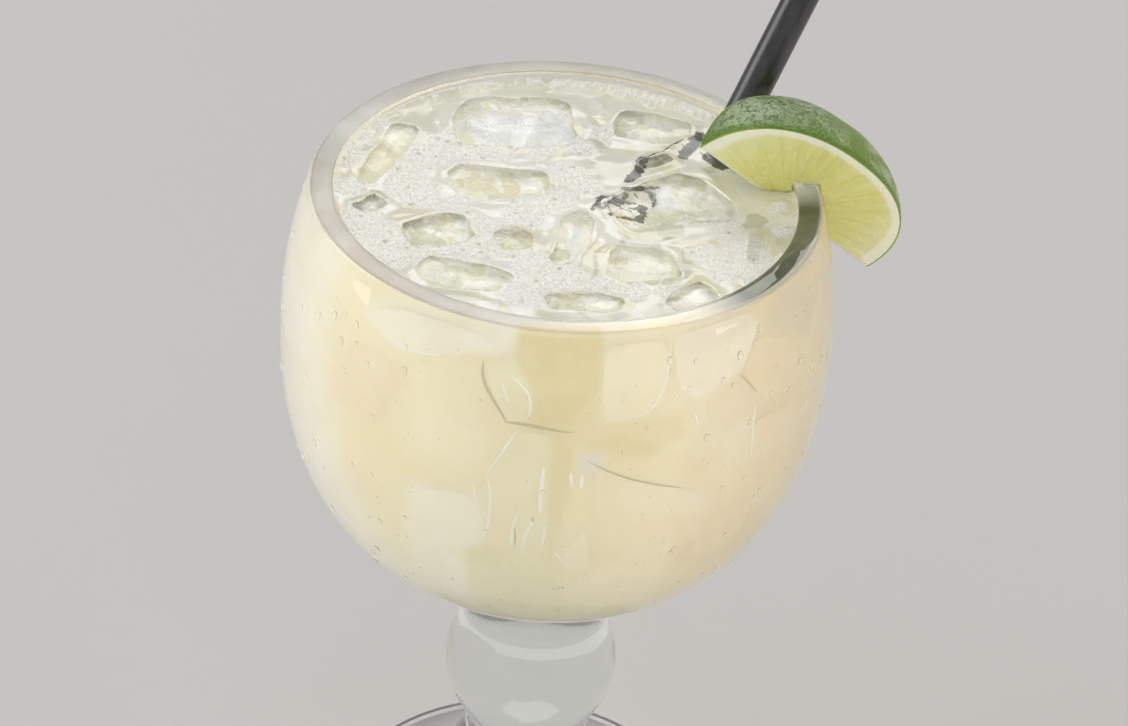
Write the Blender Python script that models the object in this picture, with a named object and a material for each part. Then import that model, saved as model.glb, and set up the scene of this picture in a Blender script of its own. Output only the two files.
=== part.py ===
"""Margarita on the rocks in a heavy schooner goblet, with ice cubes, a straw and a lime wedge on the rim.

Blender 4.5, metres, +Z up. The origin is the centre of the foot's underside. The lime wedge sits on the
rim towards +X, and the straw leans on the rim between +X and +Y.
"""

import math

import bmesh
import bpy
from mathutils import Euler, Matrix, Vector, noise

MM = 0.001
GAP = 0.0003  # clearance between the drink and the glass
CUT_GAP = 0.0004  # clearance that a piece leaves round what it is cut for
SMOOTH_ANGLE = math.radians(35.0)  # faces that meet at more than this keep a sharp edge

# Goblet
GLASS_HEIGHT = 0.172
BOWL_WIDEST_Z = 0.142
BOWL_OUTER_RADIUS = 0.0558
BOWL_OUTER_BOTTOM_Z = 0.0824
BOWL_OUTER_SQUARENESS = 2.53
BOWL_INNER_RADIUS = 0.0509
BOWL_INNER_BOTTOM_Z = 0.0890
BOWL_INNER_SQUARENESS = 2.5
RIM_OUTER_RADIUS = 0.0510
RIM_INNER_RADIUS = 0.0460
RIM_CROWN = 0.0011  # height of the rim's rounded top
RIM_SQUARENESS = 4.0
UPPER_NECK_RADIUS = 0.0163
LOWER_NECK_RADIUS = 0.0130
LOWER_NECK_Z = 0.0355
KNOB_CENTRE_Z = 0.053
KNOB_RADIUS = 0.0177
KNOB_HALF_HEIGHT = 0.0165
NECK_BLEND = 6.0  # a higher power gives tighter fillets between bowl, neck and knob
FOOT_RADIUS = 0.042
FOOT_EDGE_Z = 0.0036
FOOT_FLARE_Z = 0.0035  # height that the foot's upper side runs out towards
FOOT_FLARE_LENGTH = 0.012
FOOT_SHOULDER_RADIUS = 0.0395
FOOT_BASE_RADIUS = 0.0398
GLASS_SEGMENTS = 44

# Drink
DRINK_LEVEL_Z = 0.169

# Straw
STRAW_RADIUS = 0.0035
STRAW_WALL = 0.0005
STRAW_LENGTH = 0.197
STRAW_LOWER_END = Vector((-0.0002, 0.0026, 0.0921))
STRAW_RIM_POINT = Vector((0.03275, 0.02696, GLASS_HEIGHT))
STRAW_SIDES = 20
STRAW_ROOM_OVERRUN = 0.001  # how far the space for the straw runs past its ends

# Lime wedge, a lengthwise cut of a whole lime
LIME_HALF_LENGTH = 0.0239
LIME_RADIUS = 0.0210
LIME_SQUARENESS = 2.26
LIME_CENTRE = Vector((0.0441, 0.0110, 0.1646))
LIME_HEADING = math.radians(10.75)  # of the core line, from +X towards +Y
LIME_SLOPE = math.radians(38.2)  # the core line runs down and outwards
LIME_ROLL = math.radians(21.7)  # turns the near cut face about the core line
LIME_WEDGE_ANGLE = math.radians(68.0)
LIME_STEPS_ALONG = 18
LIME_STEPS_ROUND = 7

# Ice, as (x, y, length, width, height, yaw, pitch, roll, rise above the drink), in mm and degrees
ICE_CUBES = [
    (-10.5, 27.2, 28.6, 21.8, 18.0, 10, 4, -5, 2.8),
    (16.6, 29.2, 18.0, 13.5, 7.5, -14, 3, 4, 1.2),
    (17.2, 17.0, 8.5, 4.6, 8.0, 30, 0, 5, 1.5),
    (20.8, 0.2, 26.0, 20.5, 19.0, 34, -6, 5, 3.0),
    (-13.0, 4.4, 24.0, 14.5, 15.0, 6, 5, -4, 1.8),
    (-24.8, -14.8, 18.5, 13.0, 14.0, 16, -5, 4, 1.6),
    (-37.2, 11.8, 27.0, 6.2, 14.0, 75, 2, 6, 2.2),
    (-38.4, -7.4, 8.0, 6.2, 9.0, 45, 3, -4, 1.4),
    (-9.4, -16.4, 8.5, 9.0, 10.0, 8, -4, 6, 1.6),
    (1.2, -15.4, 7.0, 20.0, 13.0, -12, 6, 10, 2.4),
    (15.4, -22.1, 16.0, 14.2, 14.0, 10, 4, -6, 2.0),
    (-17.4, -30.4, 22.0, 11.0, 13.0, -12, 5, 3, 1.8),
    (25.2, -31.8, 12.5, 7.5, 12.0, 38, -4, 5, 1.6),
    (5.0, -37.2, 17.0, 7.5, 11.0, 5, 3, -5, 1.5),
    (38.0, -11.4, 4.6, 14.0, 12.0, -6, 4, -6, 2.4),
]
ICE_ROUNDNESS = 5.0  # a higher power gives squarer cubes
ICE_CUTS = 3
ICE_UNEVENNESS = 0.0009
ICE_LUMP_SIZE = 0.008
ICE_NOISE_STEP = Vector((7.3, 3.1, 5.7))  # from one cube to the next, so that each has its own waves


def clear_scene():
    for obj in list(bpy.data.objects):
        bpy.data.objects.remove(obj, do_unlink=True)


def material(name, colour, roughness, transmission=0.0, ior=1.45):
    mat = bpy.data.materials.new(name)
    mat.use_nodes = True
    shader = mat.node_tree.nodes["Principled BSDF"]
    shader.inputs["Base Color"].default_value = (*colour, 1.0)
    shader.inputs["Metallic"].default_value = 0.0
    shader.inputs["Roughness"].default_value = roughness
    shader.inputs["Transmission Weight"].default_value = transmission
    shader.inputs["IOR"].default_value = ior
    return mat


def add_object(name, bm, mat):
    """Makes a mesh object from a bmesh whose faces it turns outwards."""
    bmesh.ops.recalc_face_normals(bm, faces=bm.faces)
    mesh = bpy.data.meshes.new(name)
    bm.to_mesh(mesh)
    bm.free()
    mesh.shade_smooth()
    mesh.set_sharp_from_angle(angle=SMOOTH_ANGLE)
    obj = bpy.data.objects.new(name, mesh)
    bpy.context.scene.collection.objects.link(obj)
    if mat:
        mesh.materials.append(mat)
    return obj


def turned(profile, segments):
    """A bmesh of the profile, (radius, height) from axis to axis or closed, spun round +Z."""
    bm = bmesh.new()
    verts = [bm.verts.new((radius, 0.0, height)) for radius, height in profile]
    edges = [bm.edges.new(pair) for pair in zip(verts, verts[1:])]
    if profile[0][0] > 0.0:
        edges.append(bm.edges.new((verts[-1], verts[0])))
    bmesh.ops.spin(
        bm,
        geom=verts + edges,
        cent=(0.0, 0.0, 0.0),
        axis=(0.0, 0.0, 1.0),
        angle=2.0 * math.pi,
        steps=segments,
        use_merge=True,
    )
    bmesh.ops.remove_doubles(bm, verts=bm.verts, dist=1e-6)
    return bm


def superellipse(share, power):
    """Height of a unit superellipse's quarter at this share of its width."""
    return max(0.0, 1.0 - share**power) ** (1.0 / power)


def outer_radius_above(z):
    """Outer radius of the bowl between its widest level and the rim."""
    share = (z - BOWL_WIDEST_Z) / (GLASS_HEIGHT - RIM_CROWN - BOWL_WIDEST_Z)
    return BOWL_OUTER_RADIUS - (BOWL_OUTER_RADIUS - RIM_OUTER_RADIUS) * share**2


def inner_radius_above(z):
    """Inner radius of the bowl between its widest level and the rim."""
    share = (z - BOWL_WIDEST_Z) / (GLASS_HEIGHT - RIM_CROWN - BOWL_WIDEST_Z)
    return BOWL_INNER_RADIUS - (BOWL_INNER_RADIUS - RIM_INNER_RADIUS) * share**2


def spread(start, end, count):
    """count values from start up to, but not including, end."""
    return [start + (end - start) * i / count for i in range(count)]


def inner_profile(top_z, inset=0.0, steps_below=12, steps_above=4):
    """The bowl's inside from its bottom centre up to top_z, moved inwards by inset."""
    depth = BOWL_WIDEST_Z - BOWL_INNER_BOTTOM_Z - inset
    radius = BOWL_INNER_RADIUS - inset
    points = []
    for angle in spread(0.0, math.pi / 2, steps_below):
        across = math.sin(angle)
        down = superellipse(across, BOWL_INNER_SQUARENESS)
        points.append((radius * across, BOWL_WIDEST_Z - depth * down))
    for z in spread(BOWL_WIDEST_Z, top_z, steps_above) + [top_z]:
        points.append((inner_radius_above(z) - inset, z))
    return points


def rim_profile(steps=7):
    """The rim's rounded top, from the inner wall over to the outer wall."""
    middle = (RIM_OUTER_RADIUS + RIM_INNER_RADIUS) / 2
    half_width = (RIM_OUTER_RADIUS - RIM_INNER_RADIUS) / 2
    base_z = GLASS_HEIGHT - RIM_CROWN
    points = []
    for i in range(1, steps):
        angle = math.pi * (1.0 - i / steps)
        across = math.copysign(abs(math.cos(angle)) ** (2.0 / RIM_SQUARENESS), math.cos(angle))
        up = math.sin(angle) ** (2.0 / RIM_SQUARENESS)
        points.append((middle + half_width * across, base_z + RIM_CROWN * up))
    return points


def neck_radius(z):
    """Radius of the straight core that joins bowl, knob and foot."""
    share = (z - LOWER_NECK_Z) / (BOWL_OUTER_BOTTOM_Z - LOWER_NECK_Z)
    return LOWER_NECK_RADIUS + (UPPER_NECK_RADIUS - LOWER_NECK_RADIUS) * share


def blend(*radii):
    """A soft maximum, which rounds the corner where two forms meet."""
    return sum(radius**NECK_BLEND for radius in radii) ** (1.0 / NECK_BLEND)


def knob_radius(z):
    share = min(1.0, abs(z - KNOB_CENTRE_Z) / KNOB_HALF_HEIGHT)
    return KNOB_RADIUS * superellipse(share, 2.0)


def bowl_outer_profile(steps_above=4, steps_below=12):
    """The bowl's outside from the rim down to its neck."""
    points = []
    for z in spread(GLASS_HEIGHT - RIM_CROWN, BOWL_WIDEST_Z, steps_above):
        points.append((outer_radius_above(z), z))
    depth = BOWL_WIDEST_Z - BOWL_OUTER_BOTTOM_Z
    for angle in spread(0.0, math.pi / 2, steps_below):
        across = math.cos(angle)
        down = superellipse(across, BOWL_OUTER_SQUARENESS)
        z = BOWL_WIDEST_Z - depth * down
        radius = BOWL_OUTER_RADIUS * across
        points.append((blend(radius, neck_radius(z)) if radius < 2 * UPPER_NECK_RADIUS else radius, z))
    return points


def stem_profile(steps=12):
    """The neck and the knob, from the bowl down to the foot."""
    levels = spread(BOWL_OUTER_BOTTOM_Z, LOWER_NECK_Z, steps)
    return [(blend(neck_radius(z), knob_radius(z)), z) for z in levels]


def foot_profile(steps=6, edge_steps=5):
    """The flared foot, its rounded edge and its flat underside out to the axis."""
    points = []
    rise = LOWER_NECK_Z - FOOT_FLARE_Z
    for radius in spread(LOWER_NECK_RADIUS, FOOT_SHOULDER_RADIUS, steps):
        fall = math.exp(-(radius - LOWER_NECK_RADIUS) / FOOT_FLARE_LENGTH)
        points.append((radius, FOOT_FLARE_Z + rise * fall))
    shoulder_z = FOOT_FLARE_Z + rise * math.exp(
        -(FOOT_SHOULDER_RADIUS - LOWER_NECK_RADIUS) / FOOT_FLARE_LENGTH
    )
    for i in range(edge_steps + 1):
        angle = math.pi / 2 - math.pi * i / edge_steps
        height = shoulder_z - FOOT_EDGE_Z if angle > 0 else FOOT_EDGE_Z
        inner = FOOT_SHOULDER_RADIUS if angle > 0 else FOOT_BASE_RADIUS
        reach = FOOT_RADIUS - inner
        points.append((inner + reach * math.cos(angle), FOOT_EDGE_Z + height * math.sin(angle)))
    points.append((0.0, 0.0))
    return points


def make_glass(mat):
    profile = inner_profile(GLASS_HEIGHT - RIM_CROWN)
    profile += rim_profile()
    profile += bowl_outer_profile()
    profile += stem_profile()
    profile += foot_profile()
    return add_object("glass", turned(profile, GLASS_SEGMENTS), mat)


def straw_tube(radius, length, bore=0.0):
    """A round tube or, with no bore, a rod, standing on the XY plane."""
    if bore:
        return turned([(radius, 0.0), (radius, length), (bore, length), (bore, 0.0)], STRAW_SIDES)
    return turned([(0.0, 0.0), (radius, 0.0), (radius, length), (0.0, length)], STRAW_SIDES)


def straw_lean():
    """Unit vector up along the straw."""
    return (STRAW_RIM_POINT - STRAW_LOWER_END).normalized()


def lay_along_straw(obj):
    """Stands the object's +Z along the straw, from the straw's lower end."""
    turn = straw_lean().to_track_quat("Z", "Y").to_matrix().to_4x4()
    obj.matrix_world = Matrix.Translation(STRAW_LOWER_END) @ turn
    return obj


def make_straw(mat):
    tube = straw_tube(STRAW_RADIUS, STRAW_LENGTH, bore=STRAW_RADIUS - STRAW_WALL)
    return lay_along_straw(add_object("straw", tube, mat))


def lime_axes():
    """Unit vectors along the core line, up the near cut face, and from the near face into the wedge."""
    along = Vector((math.cos(LIME_HEADING), math.sin(LIME_HEADING), 0.0)) * math.cos(LIME_SLOPE)
    along.z = -math.sin(LIME_SLOPE)
    level = Vector((0.0, 0.0, 1.0)).cross(along).normalized()
    upright = along.cross(level)
    near = upright * math.cos(LIME_ROLL) - level * math.sin(LIME_ROLL)
    inward = level * math.cos(LIME_ROLL) + upright * math.sin(LIME_ROLL)
    return along, near, inward


def lime_wedge(grow=0.0):
    """A bmesh of the wedge: the skin between two cut faces that meet at the core line."""
    along, near, inward = lime_axes()
    half_length = LIME_HALF_LENGTH + grow
    radius = LIME_RADIUS + grow
    middle = near * math.cos(LIME_WEDGE_ANGLE / 2) + inward * math.sin(LIME_WEDGE_ANGLE / 2)
    centre = LIME_CENTRE - middle * grow
    bm = bmesh.new()
    ends = [bm.verts.new(centre + along * side * half_length) for side in (-1.0, 1.0)]
    rings = []
    core = []
    for i in range(1, LIME_STEPS_ALONG):
        share = -math.cos(math.pi * i / LIME_STEPS_ALONG)
        foot = centre + along * share * half_length
        reach = radius * superellipse(abs(share), LIME_SQUARENESS)
        ring = []
        for j in range(LIME_STEPS_ROUND + 1):
            angle = LIME_WEDGE_ANGLE * j / LIME_STEPS_ROUND
            outward = near * math.cos(angle) + inward * math.sin(angle)
            ring.append(bm.verts.new(foot + outward * reach))
        rings.append(ring)
        core.append(bm.verts.new(foot))
    for ring, base, next_ring, next_base in zip(rings, core, rings[1:], core[1:]):
        for j in range(LIME_STEPS_ROUND):
            bm.faces.new((ring[j], ring[j + 1], next_ring[j + 1], next_ring[j]))
        bm.faces.new((base, ring[0], next_ring[0], next_base))
        bm.faces.new((ring[-1], base, next_base, next_ring[-1]))
    for end, ring, base in ((ends[0], rings[0], core[0]), (ends[1], rings[-1], core[-1])):
        for j in range(LIME_STEPS_ROUND):
            bm.faces.new((end, ring[j + 1], ring[j]))
        bm.faces.new((end, ring[0], base))
        bm.faces.new((end, base, ring[-1]))
    return bm


def cutter(name, bm):
    """A helper that only cuts other pieces."""
    obj = add_object(name, bm, None)
    obj.hide_render = True
    obj.display_type = "WIRE"
    return obj


def cut(obj, other):
    modifier = obj.modifiers.new("cut " + other.name, "BOOLEAN")
    modifier.operation = "DIFFERENCE"
    modifier.solver = "EXACT"
    modifier.object = other


def rim_slot(clearance, steps=5):
    """A ring a little larger than the rim and the wall below it, for the slot in the lime."""
    top_z = GLASS_HEIGHT - RIM_CROWN
    levels = spread(BOWL_WIDEST_Z, top_z, steps) + [top_z]
    profile = [(inner_radius_above(z) - clearance, z) for z in levels]
    middle = (RIM_OUTER_RADIUS + RIM_INNER_RADIUS) / 2
    half_width = (RIM_OUTER_RADIUS - RIM_INNER_RADIUS) / 2
    for radius, z in rim_profile():
        wider = middle + (radius - middle) * (half_width + clearance) / half_width
        profile.append((wider, z + clearance))
    profile += [(outer_radius_above(z) + clearance, z) for z in reversed(levels)]
    return turned(profile, GLASS_SEGMENTS)


def make_lime(mat):
    lime = add_object("lime_wedge", lime_wedge(), mat)
    cut(lime, cutter("rim_slot_cutter", rim_slot(CUT_GAP)))
    return lime


def melted_cube(size, seed, grow=0.0):
    """A bmesh of an ice cube with rounded edges and a wavy surface."""
    bm = bmesh.new()
    bmesh.ops.create_cube(bm, size=2.0)
    bmesh.ops.subdivide_edges(bm, edges=bm.edges, cuts=ICE_CUTS, use_grid_fill=True)
    drift = ICE_NOISE_STEP * seed
    for vert in bm.verts:
        x, y, z = vert.co
        length = sum(abs(c) ** ICE_ROUNDNESS for c in (x, y, z)) ** (1.0 / ICE_ROUNDNESS)
        round_point = vert.co / length
        place = Vector(c * s / 2 for c, s in zip(round_point, size))
        bump = noise.noise(place / ICE_LUMP_SIZE + drift) * ICE_UNEVENNESS
        vert.co = place + Vector(c * (grow + bump) for c in round_point)
    return bm


def place_cube(bm, row):
    """Turns the cube, moves it to its place, and lifts it to stand out of the drink by its rise."""
    x, y, _length, _width, height, yaw, pitch, roll, rise = row
    turn = Euler([math.radians(angle) for angle in (roll, pitch, yaw)]).to_matrix()
    centre = Vector((x, y, rise - height / 2)) * MM
    centre.z += DRINK_LEVEL_Z
    for vert in bm.verts:
        vert.co = centre + turn @ vert.co
    return bm


def make_ice(mat):
    """Makes the cubes, and returns the slightly larger cutters for their places in the drink."""
    cutters = []
    for number, row in enumerate(ICE_CUBES, start=1):
        size = [length * MM for length in row[2:5]]
        name = f"ice_{number:02d}"
        add_object(name, place_cube(melted_cube(size, number), row), mat)
        larger = place_cube(melted_cube(size, number, CUT_GAP), row)
        cutters.append(cutter(name + "_cutter", larger))
    return cutters


def make_drink(mat, cutters):
    """The liquid, which fills the bowl to its level round the ice, the straw and the lime."""
    profile = inner_profile(DRINK_LEVEL_Z, inset=GAP) + [(0.0, DRINK_LEVEL_Z)]
    drink = add_object("drink", turned(profile, GLASS_SEGMENTS), mat)
    rod_length = STRAW_LENGTH + 2 * STRAW_ROOM_OVERRUN
    rod = lay_along_straw(cutter("straw_cutter", straw_tube(STRAW_RADIUS + CUT_GAP, rod_length)))
    rod.location -= straw_lean() * STRAW_ROOM_OVERRUN
    wedge = cutter("lime_cutter", lime_wedge(grow=CUT_GAP))
    for other in [rod, wedge] + cutters:
        cut(drink, other)
    return drink


def main():
    clear_scene()
    clear_glass = material("clear_glass", (0.97, 0.98, 0.97), 0.02, transmission=1.0, ior=1.5)
    clear_ice = material("clear_ice", (0.93, 0.95, 0.92), 0.05, transmission=1.0, ior=1.31)
    margarita = material("margarita", (0.86, 0.82, 0.58), 0.12)
    dark_plastic = material("dark_plastic", (0.03, 0.03, 0.035), 0.25)
    lime_flesh = material("lime_flesh", (0.62, 0.66, 0.22), 0.35)
    make_glass(clear_glass)
    make_straw(dark_plastic)
    make_lime(lime_flesh)
    make_drink(margarita, make_ice(clear_ice))


main()
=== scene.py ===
"""The looks of a margarita on the rocks: a schooner goblet, cloudy drink, ice, foam, straw and lime wedge.

Metres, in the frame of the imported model: the origin is the centre of the foot's underside, +Z is up,
and the lime wedge sits on the rim towards +X.
"""

import math
import random

import bpy
import numpy as np
from mathutils import Euler, Matrix, Vector, noise
from mathutils.bvhtree import BVHTree
from mathutils.geometry import intersect_point_line


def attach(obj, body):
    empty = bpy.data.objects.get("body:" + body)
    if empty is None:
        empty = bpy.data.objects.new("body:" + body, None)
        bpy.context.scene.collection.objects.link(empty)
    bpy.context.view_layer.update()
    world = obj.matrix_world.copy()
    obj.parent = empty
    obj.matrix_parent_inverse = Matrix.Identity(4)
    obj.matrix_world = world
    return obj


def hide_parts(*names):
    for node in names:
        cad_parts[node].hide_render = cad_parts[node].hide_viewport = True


MM = 0.001
IMAGE_WIDTH = 1128
SENSOR_WIDTH = 36.0  # mm

# Camera, as seen from the centre of the rim
CAMERA_DISTANCE = 0.700
CAMERA_ELEVATION = math.radians(31.66)
CAMERA_TILT = math.radians(34.479)
CAMERA_YAW = math.radians(0.2108)
CAMERA_ROLL = math.radians(4.538)
CAMERA_FOCAL_PIXELS = 3539.5

# Goblet
GLASS_HEIGHT = 0.172
BOWL_WIDEST_Z = 0.142
BOWL_OUTER_RADIUS = 0.0558
BOWL_OUTER_BOTTOM_Z = 0.0824
BOWL_OUTER_SQUARENESS = 2.53
BOWL_INNER_RADIUS = 0.0509
BOWL_INNER_BOTTOM_Z = 0.0890
BOWL_INNER_SQUARENESS = 2.5
RIM_OUTER_RADIUS = 0.0510
RIM_INNER_RADIUS = 0.0460
RIM_MIDDLE_RADIUS = (RIM_OUTER_RADIUS + RIM_INNER_RADIUS) / 2
RIM_HALF_WIDTH = (RIM_OUTER_RADIUS - RIM_INNER_RADIUS) / 2
RIM_CROWN = 0.0011
RIM_BASE_Z = GLASS_HEIGHT - RIM_CROWN
RIM_SQUARENESS = 4.0
RIM_MIST_AND_REFLECTION_HEADING = math.radians(160.0)  # where the rim is mistiest, and painted greyest as a reflection of grey surroundings
RIM_MIST_AND_REFLECTION_START = 0.65  # share of the crown above which the mist, with its painted grey reflection, sets in
RIM_MIST_AND_REFLECTION_LEAST = 0.15
RIM_DARK_REFLECTION_MIDDLE = -22.0  # degrees round, where the rim top is painted dark, a painted reflection of dark surroundings
RIM_DARK_REFLECTION_HALF_WIDTH = 36.0
RIM_DARK_REFLECTION_START = 0.2  # share of the crown above which the painted dark reflection sets in
RIM_STRIP_PLACE = 0.0004  # of the paler strip in the painted dark reflection, from the rim's outer edge
RIM_STRIP_WIDTH = 0.0006
# how much of the painted dark reflection the strip along the outer edge keeps
RIM_STRIP_DARK_REFLECTION = 0.45
UPPER_NECK_RADIUS = 0.0163
LOWER_NECK_RADIUS = 0.0130
LOWER_NECK_Z = 0.0355
KNOB_CENTRE_Z = 0.053
KNOB_RADIUS = 0.0177
KNOB_HALF_HEIGHT = 0.0165
NECK_BLEND = 6.0
FOOT_RADIUS = 0.042
FOOT_EDGE_Z = 0.0036
FOOT_FLARE_Z = 0.0035
FOOT_FLARE_LENGTH = 0.012
FOOT_SHOULDER_RADIUS = 0.0395
FOOT_BASE_RADIUS = 0.0398
GLASS_SEGMENTS = 192

# Drink
DRINK_LEVEL_Z = 0.169
WALL_OVERLAP = 0.00025  # how far the drink reaches into the glass, so that no air shows between them
FILM_START = 0.0003  # height above the level from which the drink on the wall is a white film
MENISCUS_RISE = 0.0013
MENISCUS_REACH = 0.0011
ICE_MENISCUS_RISE = 0.6  # share of the rise at the wall
ICE_MENISCUS_REACH = 0.8
SURFACE_STEP = 0.00056  # spacing of the rings of the drink's surface
SURFACE_EDGE_GAP = 0.0001  # between the wall and the surface's outermost ring
SURFACE_SINK = 0.001  # how far below the level the open surface still reaches
SURFACE_SLOPE = 0.35  # upward share of its normal from which a face is open surface
WINDOW_EDGE_GAP = 0.0003  # between the wall and what shows as a look through the ice
HOLE_ANGLE = math.radians(45.0)  # from which an edge of a hole in the wall is sharp
DRINK_SEGMENTS = 288
RIPPLE_HEIGHT = 0.00045
RIPPLE_LENGTH = 0.011
FINE_RIPPLE_SCALE = 0.35
DRINK_SUBSURFACE = (1.0, 0.9, 0.6)  # how far red, green and blue light sink in, next to each other

# Straw
STRAW_RADIUS = 0.0035
STRAW_WALL = 0.0005
STRAW_LENGTH = 0.197
STRAW_LOWER_END = Vector((-0.0002, 0.0026, 0.0921))
STRAW_RIM_POINT = Vector((0.03275, 0.02696, GLASS_HEIGHT))
STRAW_SIDES = 64
STRAW_STEPS = 60
STRAW_OVERLAP = 0.0001  # how far the straw reaches into the drink round it

# Lime wedge
LIME_HALF_LENGTH = 0.0239
LIME_RADIUS = 0.0210
LIME_SQUARENESS = 2.26
LIME_CENTRE = Vector((0.0441, 0.0110, 0.1646))
LIME_HEADING = math.radians(10.75)
LIME_SLOPE = math.radians(38.2)
LIME_ROLL = math.radians(21.7)
LIME_WEDGE_ANGLE = math.radians(68.0)
LIME_STEPS_ALONG = 150
LIME_STEPS_ROUND = 56
LIME_STEPS_DEEP = 60
LIME_OVERLAP = 0.0001  # how far the wedge reaches into the drink
PITH_DEPTH = 0.0020
SKIN_RELIEFS = [(0.0009, 0.00008), (0.007, 0.00024)]  # length and height of its pores, then of its waves
VESICLE_TURNS = 9.0  # of the noise, for each radian round the core's middle
VESICLE_LENGTH = 0.0042
VESICLE_RELIEF = 0.00032
VESICLE_CELL_TURNS = 13.0
VESICLE_CELL_LENGTH = 0.0048
FAR_FACE_SHIFT = 40.0  # in the vesicles' map, so that the two cut faces differ
VESICLE_MARGIN = (0.001, 0.002)  # depth below the skin where the relief starts, and over which it grows
SKIN_DEPTH = 0.0004  # down to which a vertex lies on the skin
RIM_CLEARANCE = 0.0004

# Ice at the surface, as (x, y, length, width, height, yaw, pitch, roll, rise), in mm and degrees
ICE_CUBES = [
    (-10.5, 27.2, 28.6, 21.8, 18, 10, 4, -5, 2.8), (16.6, 29.2, 18, 13.5, 7.5, -14, 3, 4, 1.2),
    (17.2, 17, 8.5, 4.6, 8, 30, 0, 5, 1.5), (20.8, 0.2, 26, 20.5, 19, 34, -6, 5, 3),
    (-13, 4.4, 24, 14.5, 15, 6, 5, -4, 1.8), (-24.8, -14.8, 18.5, 13, 14, 16, -5, 4, 1.6),
    (-37.2, 11.8, 27, 6.2, 14, 75, 2, 6, 2.2), (-38.4, -7.4, 8, 6.2, 9, 45, 3, -4, 1.4),
    (-9.4, -16.4, 8.5, 9, 10, 8, -4, 6, 1.6), (1.2, -15.4, 7, 20, 13, -12, 6, 10, 2.4),
    (15.4, -22.1, 16, 14.2, 14, 10, 4, -6, 2), (-17.4, -30.4, 22, 11, 13, -12, 5, 3, 1.8),
    (25.2, -31.8, 12.5, 7.5, 12, 38, -4, 5, 1.6), (5, -37.2, 17, 7.5, 11, 5, 3, -5, 1.5),
    (38, -11.4, 4.6, 14, 12, -6, 4, -6, 2.4),
]  # fmt: skip
ICE_ROUNDNESS = 5.0
ICE_GRID = 36  # faces along each edge of a cube
ICE_ROOM_GRID = 24  # faces along each edge of the cutter for its place in the drink
ICE_FACETS = 10  # flats melted into each cube
ICE_FACET_DEPTHS = (0.0006, 0.0020)
ICE_LARGE_WIDTH = 0.020  # a cube as wide as this has the full relief
ICE_UNEVENNESS = 0.0009
ICE_LUMP_SIZE = 0.008
ICE_NOISE_STEP = Vector((7.3, 3.1, 5.7))  # from one cube to the next
ICE_WAVE_HEIGHT = 0.0005
ICE_WAVE_LENGTH = 0.0055
ICE_OVERLAP = 0.00015  # how far the ice reaches into the drink
ICE_WINDOW_DEPTH = 0.0022  # how deep the cloudy drink lets one look into the ice
ICE_WINDOW_LIP = 0.0003  # that depth at the cube's sides
ICE_WINDOW_SLOPE = 0.6  # share of the half width over which the depth grows
ICE_FLOOR_RELIEF = 0.0009
ICE_FLOOR_LENGTH = 0.006

# Ice sunk against the wall, as (tone, share of it, depths in mm at its two sides, corners in degrees round
# and mm up)
SUNK_ICE = [
    ("green", 0.7, 1.1, 2.2, [(-104.6, 161.6), (-98.5, 164.6), (-93.6, 157.6), (-95, 151.6), (-98.5, 151.3),
        (-102.2, 155.5)]),
    ("green", 0.5, 1.8, 0.9, [(-96, 149.6), (-88.8, 149.2), (-88.6, 134), (-88.9, 121.5), (-97, 121),
        (-101, 131), (-102, 138)]),
    ("cream", 0.4, 0.7, 1.6, [(-79, 167.6), (-64.2, 167.4), (-65, 156), (-70.2, 152.7), (-79, 152.2)]),
    ("tan", 0.25, 1.6, 0.7, [(-80.6, 142.6), (-72.2, 139.4), (-62.3, 135.8), (-52, 130.2), (-53.6, 119.9),
        (-65.6, 115), (-77, 121.6)]),
    ("tan", 0.45, 0.9, 1.8, [(-46, 156.8), (-40.4, 162.3), (-28.6, 157.2), (-24.2, 148), (-38, 146.4)]),
    ("tan", 0.2, 1.2, 0.8, [(-42.7, 145), (-40.9, 134.4), (-27.8, 132.6), (-25.5, 140.9), (-30, 144)]),
    ("white", 0.3, 0.9, 1.5, [(-137, 161.4), (-124.9, 158.4), (-108, 163), (-102.6, 166.2), (-112.2, 167.9),
        (-128, 166.5)]),
    ("white", 0.45, 0.9, 1.5, [(-118, 131), (-106, 133.5), (-101.6, 127), (-104.6, 120.6), (-114, 118)]),
    ("cream", 0.35, 0.8, 1.2, [(-84.4, 122), (-80, 128), (-79, 117), (-84.4, 116.5)]),
    ("white", 0.4, 0.8, 1.6, [(-63.2, 168), (-43.6, 168.2), (-40.6, 165), (-46.2, 157.4), (-57, 154),
        (-62.4, 158)]),
    ("tan", 0.3, 0.8, 1.2, [(-141, 149), (-136, 156), (-121, 155.4), (-125, 148), (-128, 141.5),
        (-141, 141)]),
]  # fmt: skip
SUNK_RINGS = 14
SUNK_OUTLINE_STEP = 0.9  # mm
SUNK_ROUNDING = 3  # passes that round the outline's corners
SUNK_CORNER_CUT = 0.16  # share of each side that a pass cuts off at its two ends
SUNK_PROUD = 0.00002  # how far the ice stands out of the drink, inside the glass
SUNK_RELIEF = 0.25  # share of the depth
SUNK_RELIEF_LENGTH = 6.0  # mm
SUNK_ROOM_SCALE = 0.985  # of the ice's place in the drink
SUNK_ROOM_DEPTH = 0.93

DRINK_COLOUR = (0.885, 0.81, 0.575)
TONES = {
    "yellow": (0.79, 0.705, 0.425),
    "green": (0.83, 0.79, 0.56),
    "cream": (0.92, 0.865, 0.67),
    "white": (0.93, 0.905, 0.79),
    "lilac": (0.84, 0.81, 0.74),
    "tan": (0.88, 0.755, 0.545),
    "amber": (0.70, 0.585, 0.40),
    "grey": (0.73, 0.715, 0.60),
}
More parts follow.
